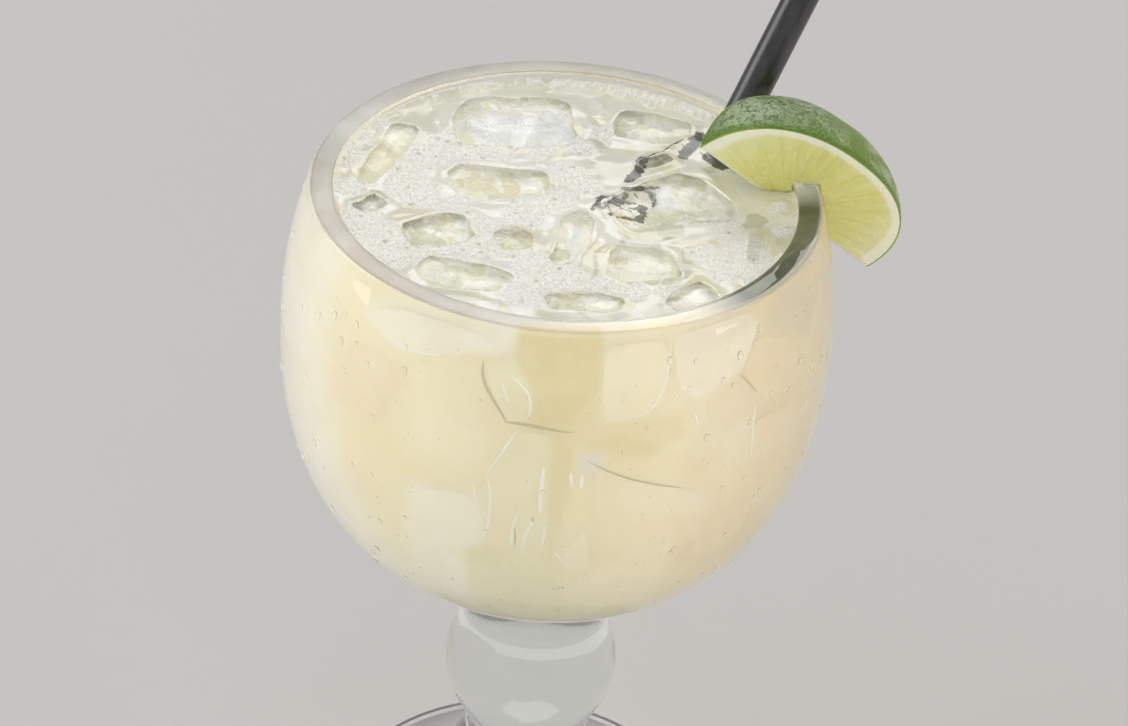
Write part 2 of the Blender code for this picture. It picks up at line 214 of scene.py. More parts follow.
# Patches of the drink at the wall, as (tone, share of it, width of the soft edge, corners in degrees and mm)
WALL_PATCHES = [
    ("white", 0.75, 12, [(-185, 172), (-148, 172), (-146, 150), (-139, 128), (-128, 113), (-106, 100),
        (-185, 92)]),
    ("tan", 0.45, 5, [(-143, 149), (-137, 157), (-120, 156), (-124, 149), (-127, 141), (-143, 140)]),
    ("tan", 0.35, 5, [(-139, 136), (-127, 138), (-127, 122), (-137, 121)]),
    ("cream", 0.6, 5, [(-120, 157), (-107, 157), (-102, 147), (-105, 140), (-119, 140)]),
    ("white", 0.8, 4, [(-119, 132), (-103, 133), (-101, 123), (-106, 119), (-107, 102), (-122, 104),
        (-121, 120)]),
    ("white", 0.55, 2.5, [(-137, 163), (-124, 159), (-108, 163), (-99, 164), (-98, 170), (-122, 170),
        (-133, 168)]),
    ("white", 1, 2, [(-113, 165.4), (-107, 163.8), (-100.5, 165.3), (-98.5, 170), (-108, 168.3)]),
    ("yellow", 0.9, 1.6, [(-98.3, 172), (-98.3, 164.6), (-93.4, 157.4), (-95, 151.2), (-80, 151.4),
        (-79.2, 172)]),
    ("yellow", 0.75, 2, [(-97, 151.1), (-62, 152.6), (-59, 148.5), (-69, 143.6), (-79, 146), (-88, 149.7)]),
    ("yellow", 0.6, 1.2, [(-88.6, 149.6), (-84.4, 147), (-84.6, 137), (-87.2, 118), (-88.6, 118),
        (-88.9, 140)]),
    ("green", 0.7, 1, [(-106.3, 119.4), (-97.6, 121.2), (-87, 118), (-84, 110), (-82, 102), (-106, 100)]),
    ("grey", 0.3, 1.6, [(-80, 165), (-74, 166.5), (-73, 168.5), (-80, 169)]),
    ("lilac", 0.7, 3, [(-280, 167), (-280, 180), (-182, 180), (-182, 167)]),
    ("lilac", 0.7, 3, [(0, 167), (0, 180), (95, 180), (95, 167)]),
    ("white", 0.5, 14, [(-262, 172), (-200, 172), (-205, 140), (-230, 104), (-262, 120)]),
    ("tan", 0.35, 12, [(12, 165), (44, 168), (60, 134), (34, 108), (10, 124)]),
    ("white", 0.55, 1.8, [(-63.6, 168.6), (-43, 168.6), (-40, 165), (-46, 156.4), (-57, 153),
        (-62.6, 157.5)]),
    ("white", 0.45, 5, [(-58, 153), (-45, 154), (-42.5, 148), (-42, 136), (-50, 137), (-58, 141)]),
    ("tan", 0.3, 3, [(-46, 156.6), (-40.3, 162), (-28.8, 157), (-24.4, 146), (-38, 145.5)]),
    ("grey", 0.6, 3, [(-39.5, 163.4), (-30, 169), (-16, 161), (-22, 155.5), (-28.6, 158.2)]),
    ("tan", 0.5, 6, [(-42, 143), (-24, 145), (-16, 134), (-30, 112), (-62, 114), (-62, 126), (-42, 133)]),
    ("white", 0.35, 2, [(-74, 138.6), (-62, 135.8), (-52, 130.4), (-52, 127), (-62, 129), (-75, 134)]),
    ("lilac", 0.9, 1.2, [(-83.6, 145.6), (-79, 146.4), (-77, 141.6), (-80, 139.4), (-83, 141)]),
    ("cream", 0.6, 1.4, [(-84.6, 122), (-80, 128), (-79, 117), (-84.6, 116.5)]),
    ("cream", 0.6, 6, [(-82, 118), (-60, 116), (-58, 104), (-80, 103)]),
    ("amber", 0.26, 9, [(-62, 172), (10, 172), (10, 122), (-22, 106), (-58, 112)]),
]  # fmt: skip
# Edges of sunken ice that touch the wall, drawn as thin painted highlights, as ([(degrees round, height in
# mm)], half width in mm)
HIGHLIGHT_CREASES = [
    ([(-99.6, 161), (-94.6, 158.6), (-92.4, 155.6), (-95, 151.6)], 0.27),
    ([(-100.6, 159), (-99.4, 156.8), (-98.6, 155)], 0.22),
    ([(-96.2, 150), (-99.3, 144), (-102.4, 138.2)], 0.3),
    ([(-102.2, 138.6), (-99.6, 133.6), (-101.6, 127), (-100.6, 122.6), (-104.6, 120.6)], 0.32),
    ([(-104.8, 136.4), (-104.4, 131.4), (-102.6, 128.2)], 0.22),
    ([(-90.2, 142.6), (-90.6, 137), (-90.4, 130.6)], 0.49),
    ([(-94.6, 132), (-96.4, 127), (-96, 122.4)], 0.3),
    ([(-91.6, 129.6), (-93.2, 125.6), (-93.8, 121.4)], 0.35),
    ([(-89.4, 128.6), (-89, 125), (-89.8, 121.8)], 0.24),
    ([(-87, 121.6), (-85.2, 119.6), (-83.6, 117.6)], 0.22),
    ([(-63.8, 167.2), (-64.2, 162), (-65.4, 156.5), (-67.6, 153.6), (-72, 152.8)], 0.32),
    ([(-61.4, 157.8), (-63.4, 154.6), (-66.6, 153.2)], 0.19),
    ([(-40.2, 165.6), (-43.6, 160.4), (-46.2, 157)], 0.24),
    ([(-42.2, 149.4), (-42.8, 142), (-41.8, 135.4)], 0.3),
    ([(-84.6, 141.6), (-84.8, 139.6), (-84, 137.8)], 0.41),
    ([(-82.4, 141.2), (-82.2, 139.4), (-82.4, 137.6)], 0.46),
    ([(-58.6, 151.8), (-57.6, 150.2), (-57.4, 148.2)], 0.3),
    ([(-130, 160.8), (-122, 159), (-114, 161.2)], 0.24),
]  # fmt: skip
# Edges of sunken ice at the wall drawn as thin painted dark lines, standing in for shade, in the same columns
SHADE_CREASES = [
    ([(-104.9, 162.4), (-106, 158.4), (-101.6, 155.4), (-98.7, 151)], 0.3),
    ([(-99.2, 151), (-95.6, 151.6), (-90.6, 150.6), (-84.8, 150.2)], 0.3),
    ([(-82, 144.4), (-73.2, 139), (-64.3, 136.8), (-59.6, 134.8)], 0.18),
    ([(-91.9, 130.4), (-91.6, 129.6), (-91.8, 128.8)], 0.18),
    ([(-95.6, 127.4), (-95, 124.5), (-95.3, 121.9)], 0.15),
    ([(-46.8, 156.6), (-44, 153.6), (-41.6, 150.8)], 0.16),
]  # fmt: skip
# Colours of the painted highlight lines and of the painted dark lines
HIGHLIGHT_CREASE_COLOUR = (0.98, 0.955, 0.83)
SHADE_CREASE_COLOUR = (0.60, 0.57, 0.38)
CREASE_STEPS = 24
CREASE_SIDES = 8
CREASE_PROUD = 0.00004
CREASE_RELIEF = 0.15  # share of the half width

# Foam patches on the surface, as (x, y, radius), in mm
FOAM_PATCHES = [
    (-39.8, 23.7, 2.6), (-43.5, 17, 3.6), (-44.4, 9.7, 3.4), (-42.9, -1, 3.6), (-40.4, -12, 4.6),
    (-37, -17.4, 4.6), (-31, -23.6, 4.6), (-25.7, 19.2, 4.4), (-28.3, 13.4, 5), (-31.2, 6.8, 4),
    (-33, 1.2, 3.6), (-28.6, -1.8, 4.6), (-21, 14.6, 4.6), (-13.4, 16.2, 3.4), (-5.6, 17.6, 3),
    (1.7, 20.6, 3), (6.2, 27.4, 2.8), (-22.4, -6, 4.4), (-27.5, -20.6, 4.4), (-19.2, -21.6, 5),
    (-12.5, -19.7, 3.4), (-15, -12.2, 4.4), (-8.2, -7.4, 4.8), (-6.8, -1.6, 4.4), (-1.6, 0.6, 4.4),
    (-0.6, 9.7, 4.6), (3.6, 6.5, 4), (8.2, 4.8, 2.4), (-6, -24, 4.4), (0.9, -26.2, 4.2), (-3.2, -30, 5),
    (-6, -35, 4.6), (8, -30.4, 3.6), (14.6, -31.6, 3), (31.6, -6.9, 4), (35, -13, 4.2), (33.2, -19.6, 5.2),
    (37.6, -22.4, 3.6), (29, -16, 3.8), (42.6, 4, 2.6), (42.9, -4.6, 2.6), (20, -31, 2.4),
]  # fmt: skip
FOAM_RAGGEDNESS = 0.55
FOAM_NOISE_LENGTH = 0.0022
# Calm drink with no ice close under it, as (x, y, radius), in mm
CALM_SPOTS = [
    (-30, 24, 7), (-26, 31, 8), (-12, 40.5, 6), (0, 42, 6), (12, 39.5, 6), (24, 37, 7), (8.8, 14.6, 6),
    (33, 28, 7), (39, 12, 6), (-21, -38, 5), (-2, -43.5, 4), (10, -42, 5), (20, -39, 4), (-32, -29, 4),
]  # fmt: skip
# Where the drink and the ice let the dark straw show through, painted on as a painted refraction, as (points
# in mm, half width in mm, strength)
STRAW_GHOSTS = [
    ([(26.6, 29.4), (24.8, 24.8), (23, 20.4)], 1.3, 1),
    ([(25, 28), (20, 22.6), (15, 17)], 0.4, 0.75),
    ([(28.5, 21.6), (30.9, 18.5)], 2, 1),
    ([(15, 17), (14, 13), (12.4, 9.6)], 1.2, 1),
    ([(5.4, -2.4), (7.4, 2.4), (11, 5.6), (17.6, 7.2)], 0.7, 0.85),
    ([(8.9, -4.2), (12, -3.6), (15.2, -4.4), (15.9, -0.7)], 0.7, 0.8),
]  # fmt: skip
STRAW_GHOST_COLOUR = (0.06, 0.06, 0.035)
# Where the straw's painted dark breaks up in the ice, and where the ice shows white, partly milky ice and
# partly a painted reflection, as (x, y, radius), in mm
STRAW_SWIRLS = [(8.6, 0.2, 3.2), (12.6, -0.6, 3.8), (14.6, 3.6, 3)]
WHITE_SPOTS = [(-14, 25, 9), (-4, 28, 9), (1.2, -12, 4), (36.5, -9, 3), (19, 4, 4)]
BEAD_SIZES = (0.00012, 0.00038)
BEAD_COUNT = 7000
BEAD_EDGE_GAP = 0.0006  # between the wall and the beads
BEAD_SLOPE = 0.3  # least upward share of the normal below a bead
BEAD_FROTH = 0.6  # least froth that carries beads
WALL_BEAD_SIZES = (0.0002, 0.00085)
WALL_BEAD_COUNT = 360
WALL_BEAD_ARC = (math.radians(38.0), math.radians(150.0), math.radians(68.0))  # its ends, and where most are
WALL_BEAD_SPREAD = 0.0011
WALL_BEAD_LIFT = 0.0006

# Large drops on the bowl, as (degrees round, height in mm, half width in mm)
LARGE_DROPS = [
    (-170.4, 130.5, 0.8), (-159.5, 161.2, 0.7), (-147.2, 157.3, 0.8), (-129.3, 108.8, 1), (-144, 111.2, 1),
    (-62.9, 98.7, 0.8), (-146, 127.8, 0.8), (-158, 126, 0.7), (-154.8, 118.4, 0.9), (-149.5, 142, 0.7),
    (-154.8, 154.4, 0.7), (-167.6, 146.8, 0.8), (-133.8, 100.8, 0.8), (-138.5, 156, 0.9),
    (-134, 157.6, 0.7), (-135, 161.4, 0.8), (-138.6, 161.8, 0.6), (-130.2, 155, 0.8), (-121, 157.6, 0.9),
    (-132.6, 130.4, 0.6), (-127.2, 144.8, 0.5), (-42.6, 166, 0.7), (-48.6, 162.6, 0.9), (-59.6, 164.2, 0.6),
    (-53.2, 158.8, 0.6), (-61.4, 159.2, 0.5), (-40, 151, 0.8), (-29.8, 153.6, 0.8), (-24.8, 149.8, 0.9),
    (-18.8, 148, 0.8), (-27, 142.2, 0.8), (-22, 142, 0.6), (-51.8, 133.6, 0.6), (-40.2, 128, 0.7),
    (-30.6, 128.8, 0.6), (-21.8, 126.2, 0.9), (-61.6, 120, 0.8), (-47.8, 119.8, 0.6), (-32, 134.2, 0.6),
    (-13.6, 132.8, 0.8), (-57, 147.6, 0.9), (-46.2, 147.4, 0.7),
]  # fmt: skip
DROP_COUNT = 420
DROP_HEIGHTS = (0.096, 0.166)
DROP_SIZES = (0.00018, 0.0008)
DROP_WIDTH = 0.85  # of a drop's size
DROP_LENGTHS = (1.0, 1.35)
DROP_THICKNESS = 0.45
DROP_SLOPE_STEP = 0.0005  # up and down, to measure how steep the wall is

SEED = 11


# ---------------------------------------------------------------- node materials


class Look:
    """A material whose nodes are added one by one, ending in its Principled shader."""

    def __init__(self, name):
        self.mat = bpy.data.materials.new(name)
        self.mat.use_nodes = True
        self.tree = self.mat.node_tree

    def link_or_set(self, socket, value):
        if isinstance(value, bpy.types.NodeSocket):
            self.tree.links.new(value, socket)
        else:
            socket.default_value = (*value, 1.0) if socket.type == "RGBA" else value

    def set(self, **values):
        """Sets the shader's sockets, as base_color=..., and returns the material."""
        sockets = self.tree.nodes["Principled BSDF"].inputs
        for key, value in values.items():
            self.link_or_set(sockets[key.replace("_", " ").title().replace("Ior", "IOR")], value)
        return self.mat

    def node(self, kind, settings=(), **values):
        """Adds a node and sets its sockets, by name or as i0=... by place."""
        node = self.tree.nodes.new("ShaderNode" + kind)
        for key, value in dict(settings).items():
            setattr(node, key, value)
        for key, value in values.items():
            place = int(key[1:]) if key[1:].isdigit() else key.replace("_", " ").title()
            self.link_or_set(node.inputs[place], value)
        return node

    def place(self):
        return self.node("TexCoord").outputs["Object"]

    def attribute(self, name, output="Fac"):
        return self.node("Attribute", {"attribute_name": name}).outputs[output]

    def noise(self, scale, detail=3.0, distortion=0.0, vector=None):
        values = {"scale": scale, "detail": detail, "distortion": distortion}
        return self.node("TexNoise", vector=vector or self.place(), **values).outputs["Fac"]

    def voronoi(self, scale, settings=(), output="Distance", **values):
        return self.node("TexVoronoi", settings, scale=scale, **values).outputs[output]

    def cells(self, scale):
        return self.voronoi(scale, vector=self.place())

    def flats(self, vector, scale, smoothness):
        """Three random numbers for each cell of a pattern."""
        colour = self.voronoi(scale, {"feature": "SMOOTH_F1"}, "Color", vector=vector, smoothness=smoothness)
        return self.node("SeparateColor", i0=colour).outputs

    def ramp(self, factor, low, high, start=0.0, end=1.0):
        """factor mapped from low and high to start and end, with smooth ends."""
        smooth = {"interpolation_type": "SMOOTHSTEP"}
        values = {"value": factor, "from_min": low, "from_max": high, "to_min": start, "to_max": end}
        return self.node("MapRange", smooth, **values).outputs["Result"]

    def mix(self, factor, first, second):
        return self.node("Mix", {"data_type": "RGBA"}, factor=factor, i6=first, i7=second).outputs[2]

    def mottle(self, pattern, first, second, low=0.35, high=0.65):
        return self.mix(self.ramp(pattern, low, high), first, second)

    def math(self, operation, first, second=0.0, **more):
        return self.node("Math", {"operation": operation}, i0=first, i1=second, **more).outputs[0]

    def vector_math(self, operation, first, **more):
        return self.node("VectorMath", {"operation": operation}, i0=first, **more).outputs[0]

    def stretched(self, vector, scale):
        return self.node("Mapping", vector=vector, scale=scale).outputs["Vector"]

    def warped(self, scale, distance):
        """The place, pushed about by a noise."""
        place = self.place()
        push = self.node("TexNoise", vector=place, scale=scale, detail=1.0).outputs["Color"]
        push = self.vector_math("SUBTRACT", push, i1=(0.5, 0.5, 0.5))
        return self.vector_math("ADD", place, i1=self.vector_math("SCALE", push, scale=distance))

    def bump(self, height, distance, strength=1.0, **below):
        values = {"height": height, "distance": distance, "strength": strength, **below}
        return self.node("Bump", **values).outputs["Normal"]

    def painted_straw_refraction(self, colour):
        """The colour, darkened with torn edges where the drink and the ice let the dark straw show: a painted
        refraction of the straw.
        """
        torn = self.math("MULTIPLY_ADD", self.noise(300.0, distortion=2.0), 1.4, i2=-0.7)
        strokes = self.ramp(self.math("ADD", self.attribute("ghost"), torn), 0.45, 0.70, 0.0, 0.88)
        marble = self.ramp(self.noise(150.0, 2.0, 2.6), 0.48, 0.56, 0.0, 0.80)
        marble = self.math("MULTIPLY", marble, self.ramp(self.attribute("swirl"), 0.25, 0.6))
        return self.mix(self.math("MAXIMUM", strokes, marble), colour, STRAW_GHOST_COLOUR)

    def absorb(self, colour, density):
        volume = self.node("VolumeAbsorption", color=colour, density=density)
        self.tree.links.new(volume.outputs["Volume"], self.tree.nodes["Material Output"].inputs["Volume"])


def glass_look():
    """Clear glass, misted by the cold drink, and most on top of the rim as an attribute says; there the mist
    is also painted grey, a painted reflection of grey surroundings, and near the lime the rim top is painted
    dark, a painted reflection of dark surroundings.
    """
    look = Look("goblet_glass")
    look.absorb((0.78, 0.86, 0.80), 7.0)
    mist = look.ramp(look.attribute("mist"), 0.0, 1.0)
    smoke = look.attribute("smoke")
    clear = look.mottle(look.noise(26.0), (0.965, 0.975, 0.965), (0.985, 0.985, 0.985))
    # Grey of the misted rim top: a painted reflection of grey surroundings.
    wet = look.mottle(look.noise(150.0), (0.54, 0.50, 0.47), (0.62, 0.59, 0.56))
    # Dark grey-green of the rim top near the lime: a painted reflection of dark surroundings.
    dark = look.mottle(look.noise(90.0), (0.085, 0.10, 0.05), (0.15, 0.165, 0.10))
    polish = look.ramp(look.noise(45.0, 4.0), 0.4, 0.7, 0.0, 0.035)
    hidden = look.math("MAXIMUM", look.math("MULTIPLY", mist, 0.6), look.math("MULTIPLY", smoke, 0.92))
    return look.set(
        base_color=look.mix(smoke, look.mix(mist, clear, wet), dark),
        roughness=look.math("ADD", polish, look.math("MULTIPLY", mist, 0.3)),
        transmission_weight=look.math("SUBTRACT", 1.0, hidden),
        ior=1.5,
        sheen_weight=0.22,
        sheen_roughness=0.35,
        normal=look.bump(look.noise(70.0, 2.0), 0.00025),
    )


def drink_look(name, depth):
    """Cloudy drink, or ice that only tints it: the tone at the wall, with soft flats and slow clouds in it.

    depth is how far light sinks in.
    """
    look = Look(name)
    flats = look.flats(look.warped(55.0, 0.012), 85.0, 0.35)
    tone = look.attribute("tone", "Color")
    colour = look.mix(look.ramp(flats[0], 0.2, 0.8, 0.0, 0.22), tone, (0.94, 0.90, 0.74))
    colour = look.mix(look.ramp(flats[1], 0.2, 0.8, 0.0, 0.16), colour, (0.80, 0.70, 0.45))
    clouds = look.ramp(look.noise(420.0, 4.0), 0.35, 0.75, 0.0, 0.10)
    return look.set(
        base_color=look.mix(clouds, colour, (0.96, 0.94, 0.84)),
        roughness=look.ramp(look.noise(90.0), 0.3, 0.7, 0.35, 0.5),
        specular_ior_level=0.12,
        subsurface_weight=0.6 if depth else 0.0,
        subsurface_scale=depth,
        subsurface_radius=DRINK_SUBSURFACE,
    )


def painted_ice_refraction(look):
    """The tones and thin bright creases that ice close to the eye breaks the drink into, painted: the flats
    stand in for the ice's refraction, the grey-green ones for a reflection of dark surroundings, and the
    bright creases are painted highlights.
    """
    warped = look.warped(110.0, 0.007)
    tone = look.flats(warped, 165.0, 0.04)
    colour = look.mottle(tone[0], (0.86, 0.835, 0.62), (0.945, 0.93, 0.78), 0.25, 0.75)
    # Grey-green flats: a painted reflection of dark surroundings; the near-white flats next: painted
    # highlights.
    colour = look.mottle(tone[1], colour, (0.73, 0.735, 0.57), 0.68, 0.73)
    colour = look.mottle(tone[2], colour, (0.97, 0.955, 0.84), 0.66, 0.71)
    colour = look.mix(look.ramp(tone[0], 0.80, 0.85, 0.0, 0.8), colour, (0.87, 0.81, 0.61))
    # Thin bright lines along the flats' edges: painted highlights.
    edges = look.voronoi(165.0, {"feature": "DISTANCE_TO_EDGE"}, vector=warped)
    some = look.ramp(look.noise(170.0), 0.42, 0.60, 0.0, 0.85)
    crease_highlight = look.math("MULTIPLY", look.ramp(edges, 0.02, 0.06, 1.0, 0.0), some)
    return look.mix(crease_highlight, colour, (1.0, 1.0, 0.97)), tone


def surface_look():
    """The drink's open surface, glossy where it is clear and frothy where the foam attribute says."""
    look = Look("drink_surface")
    foam = look.attribute("foam")
    fine = look.cells(2100.0)
    froth = look.mottle(fine, (0.90, 0.885, 0.77), (1.0, 0.995, 0.92), 0.05, 0.40)
    froth = look.mix(look.ramp(look.cells(300.0), 0.10, 0.22, 1.0, 0.0), froth, (0.62, 0.62, 0.49))
    calm = look.mottle(look.noise(60.0, distortion=0.8), (0.80, 0.80, 0.66), (0.86, 0.86, 0.75))
    # Away from calm spots the surface gets the painted refraction tones and highlights of nearby ice, and the
    # painted dark straw seen through it.
    clear = look.painted_straw_refraction(look.mix(look.attribute("calm"), painted_ice_refraction(look)[0], calm))
    bubbles = look.math("MULTIPLY", look.math("ADD", look.cells(1000.0), fine), foam)
    waves = look.bump(look.noise(220.0, distortion=0.6), 0.0002)
    return look.set(
        base_color=look.mix(foam, clear, froth),
        roughness=look.ramp(foam, 0.0, 1.0, 0.08, 0.22),
        specular_ior_level=0.5,
        subsurface_weight=0.3,
        subsurface_scale=0.002,
        subsurface_radius=DRINK_SUBSURFACE,
        normal=look.bump(bubbles, 0.0004, 0.3, normal=waves),
    )


def window_look():
    """The drink where one looks at it through the ice, whose flats and folds part it into tones, painted: the
    ice's refraction, grey-green painted reflections of dark surroundings, painted highlights, and the dark
    straw seen through it.
    """
    look = Look("drink_under_ice")
    colour, tone = painted_ice_refraction(look)
    # Grey-green patches: a painted reflection of dark surroundings in the ice.
    grey = look.ramp(look.noise(85.0, distortion=3.2), 0.54, 0.60, 0.0, 0.6)
    colour = look.mix(grey, colour, (0.70, 0.715, 0.58))
    # Near-white patches: painted highlights on the ice.
    bright = look.ramp(look.noise(115.0, distortion=3.6), 0.56, 0.61, 0.0, 0.8)
    colour = look.mix(bright, colour, (0.985, 0.98, 0.91))
    white = look.mottle(tone[1], (0.985, 0.985, 0.965), (0.86, 0.875, 0.85), 0.45, 0.55)
    # Where the white attribute says: the white of milky ice, partly a painted reflection on the ice.
    colour = look.mix(look.attribute("white"), colour, white)
    return look.set(
        base_color=look.painted_straw_refraction(colour),
        roughness=look.ramp(look.noise(130.0, 2.0, 1.5), 0.3, 0.7, 0.3, 0.5),
        specular_ior_level=0.1,
        subsurface_weight=0.3,
        subsurface_scale=0.002,
        subsurface_radius=DRINK_SUBSURFACE,
    )


def ice_look(name, tint, haze):
    """Clear wet ice. haze is how milky its cloudy veins are."""
    look = Look(name)
    veins = look.noise(150.0, 4.0, 2.2)
    cloud = look.ramp(veins, 0.5, 0.75, 0.0, haze)
    return look.set(
        base_color=look.mix(cloud, tint, (0.97, 0.975, 0.97)),
        roughness=look.ramp(veins, 0.3, 0.8, 0.02, 0.14),
        transmission_weight=look.math("SUBTRACT", 1.0, cloud),
        ior=1.31,
        normal=look.bump(look.noise(260.0, 2.0, 1.2), 0.0004),
    )


def crease_look(name, colour):
    """The painted highlight or painted dark line that an edge of sunken ice shows."""
    look = Look(name)
    darker = tuple(part * 0.9 for part in colour)
    return look.set(base_color=look.mix(look.noise(180.0), colour, darker), roughness=0.4)


def bubble_look():
    look = Look("foam_bubbles")
    return look.set(
        base_color=look.mix(look.noise(400.0), (0.985, 0.98, 0.94), (0.93, 0.92, 0.84)),
        roughness=look.ramp(look.noise(300.0), 0.3, 0.7, 0.06, 0.16),
        specular_ior_level=0.6,
        transmission_weight=0.1,
    )


def straw_look():
    look = Look("dark_straw")
    streaks = look.noise(60.0, vector=look.stretched(look.place(), (8.0, 8.0, 0.6)))
    return look.set(
        base_color=look.mottle(streaks, (0.012, 0.012, 0.014), (0.028, 0.028, 0.030), 0.3, 0.7),
        roughness=look.ramp(streaks, 0.3, 0.7, 0.22, 0.30),
        specular_ior_level=1.0,
        normal=look.bump(streaks, 0.00004),
    )


def lime_skin_look():
    """Green skin with pale patches and pores, and a plain green edge beside the cuts."""
    look = Look("lime_skin")
    patches = look.noise(85.0, 5.0, 0.7)
    pores = look.cells(1300.0)
    green = look.mottle(look.noise(50.0), (0.10, 0.20, 0.025), (0.20, 0.31, 0.05))
    green = look.mix(look.ramp(pores, 0.08, 0.28, 0.6, 0.0), green, (0.03, 0.08, 0.01))
    pale = look.mottle(pores, (0.13, 0.22, 0.07), (0.40, 0.49, 0.28), 0.12, 0.30)
    pale = look.mottle(look.noise(700.0, distortion=1.0), pale, green, 0.50, 0.60)
    skin = look.mottle(patches, green, pale, 0.40, 0.54)
    edge = look.ramp(look.attribute("edge"), 0.0, 0.0026, 1.0, 0.0)
    return look.set(
        base_color=look.mix(edge, skin, (0.11, 0.22, 0.01)),
        roughness=look.ramp(patches, 0.3, 0.7, 0.30, 0.42),
        normal=look.bump(pores, 0.0003, 0.6),
    )


def lime_flesh_look():
    """The cut faces: green skin line, cream pith, then vesicles that run out from the middle of the core."""
    look = Look("lime_flesh")
    depth = look.attribute("depth")
    tip = look.attribute("tip")
    polar = look.node("UVMap", {"uv_map": "vesicles"}).outputs["UV"]
    edges = {"voronoi_dimensions": "2D", "feature": "DISTANCE_TO_EDGE"}
    cells = look.voronoi(1.0, edges, vector=polar)
    streaks = look.noise(1.5, 1.5, vector=look.stretched(polar, (1.0, 0.25, 1.0)))
    colour = look.mottle(streaks, (0.73, 0.725, 0.23), (0.80, 0.79, 0.34), 0.30, 0.72)
    wall = look.math("MULTIPLY", look.ramp(cells, 0.0, 0.08, 1.0, 0.0), 0.16)
    colour = look.mix(wall, colour, (0.84, 0.84, 0.50))
    colour = look.mix(look.ramp(tip, 0.45, 0.95, 0.0, 0.8), colour, (0.83, 0.825, 0.52))
    colour = look.mix(look.ramp(depth, 0.001, 0.0045, 0.45, 0.0), colour, (0.82, 0.815, 0.50))
    pith = look.math("SUBTRACT", depth, look.ramp(tip, 0.72, 1.0, 0.0, 0.0022))
    pith = look.ramp(pith, PITH_DEPTH * 0.75, PITH_DEPTH * 1.35, 1.0, 0.0)
    colour = look.mix(pith, colour, (0.90, 0.895, 0.74))
    core = look.ramp(look.attribute("core"), 0.0003, 0.0009, 0.8, 0.0)
    colour = look.mix(core, colour, (0.80, 0.80, 0.62))
    zest = look.ramp(depth, 0.00025, 0.00045, 1.0, 0.0)
    return look.set(
        base_color=look.mix(zest, colour, (0.20, 0.32, 0.04)),
        roughness=look.ramp(look.noise(250.0), 0.3, 0.7, 0.15, 0.3),
        subsurface_weight=0.5,
        subsurface_scale=0.003,
        subsurface_radius=(1.0, 0.9, 0.3),
        normal=look.bump(cells, 0.0003, 0.35),
    )


def water_look():
    look = Look("condensation")
    colour = look.mix(look.noise(90.0), (0.97, 0.98, 0.97), (1.0, 1.0, 1.0))
    return look.set(base_color=colour, roughness=0.0, transmission_weight=1.0, ior=1.33)


def floor_look():
    look = Look("pale_floor")
    colour = look.mix(look.noise(3.0), (0.62, 0.61, 0.60), (0.66, 0.65, 0.64))
    return look.set(base_color=colour, roughness=0.7, specular_ior_level=0.2)


# ---------------------------------------------------------------- meshes


def clamp(value):
    return min(1.0, max(0.0, value))


def pairs(loop):
    """Each item of a closed loop with the next one."""
    return zip(loop, loop[1:] + loop[:1])


def bridged(count, loops, start=0):
    """The faces between closed loops of count points, each loop after the one before it."""
    faces = []
    for a in range(start, start + count * (loops - 1), count):
        faces += [(a + i, a + j, a + count + j, a + count + i) for i, j in pairs(list(range(count)))]
    return faces


def add_mesh(name, points, faces, *mats):
    mesh = bpy.data.meshes.new(name)
    mesh.from_pydata([tuple(p) for p in points], [], [tuple(f) for f in faces])
    mesh.validate()
    mesh.polygons.foreach_set("use_smooth", [True] * len(mesh.polygons))
    obj = bpy.data.objects.new(name, mesh)
    bpy.context.scene.collection.objects.link(obj)
    for mat in mats:
        mesh.materials.append(mat)
    return obj


def add_values(mesh, **values):
    """Writes one number for each vertex under each name."""
    for name, numbers in values.items():
        mesh.attributes.new(name, "FLOAT", "POINT").data.foreach_set("value", numbers)


def paint(mesh, colours):
    """Writes one tone for each vertex, as rows of red, green, blue and 1."""
    mesh.attributes.new("tone", "FLOAT_COLOR", "POINT").data.foreach_set("color", colours.ravel())


def turned(profile, segments):
    """(points, faces) of a profile of (radius, height), from axis to axis or closed, turned round +Z.

    The faces look outwards where the profile runs up.
    """
    turn = np.arange(segments) * (2.0 * math.pi / segments)
    rings = []
    points = []
    for radius, z in profile:
        count = segments if radius > 1e-9 else 1
        rings.append(list(range(len(points), len(points) + count)))
        points += [(radius * math.cos(a), radius * math.sin(a), z) for a in turn[:count]]
    if profile[0][0] > 1e-9:
        rings.append(rings[0])
    faces = []
    for low, high in zip(rings, rings[1:]):
        for i, j in pairs(list(range(segments))):
            corners = low[i % len(low)], low[j % len(low)], high[j % len(high)], high[i % len(high)]
            faces.append(tuple(dict.fromkeys(corners)))
    return points, faces


def superellipse(share, power):
    """Height of a unit superellipse's quarter at this share of its width."""
    return max(0.0, 1.0 - share**power) ** (1.0 / power)


def bowl_radius(z, widest, rim, bottom_z, squareness):
    """Radius at a height of the bowl whose form is this wide at its widest place and at the rim."""
    if z > BOWL_WIDEST_Z:
        share = (z - BOWL_WIDEST_Z) / (RIM_BASE_Z - BOWL_WIDEST_Z)
        return widest - (widest - rim) * share**2
    return widest * superellipse((BOWL_WIDEST_Z - z) / (BOWL_WIDEST_Z - bottom_z), squareness)


def outer_radius(z):
    return bowl_radius(z, BOWL_OUTER_RADIUS, RIM_OUTER_RADIUS, BOWL_OUTER_BOTTOM_Z, BOWL_OUTER_SQUARENESS)


def inner_radius(z):
    return bowl_radius(z, BOWL_INNER_RADIUS, RIM_INNER_RADIUS, BOWL_INNER_BOTTOM_Z, BOWL_INNER_SQUARENESS)


def spread(start, end, count):
    """count values from start up to, but not including, end."""
    return [start + (end - start) * i / count for i in range(count)]


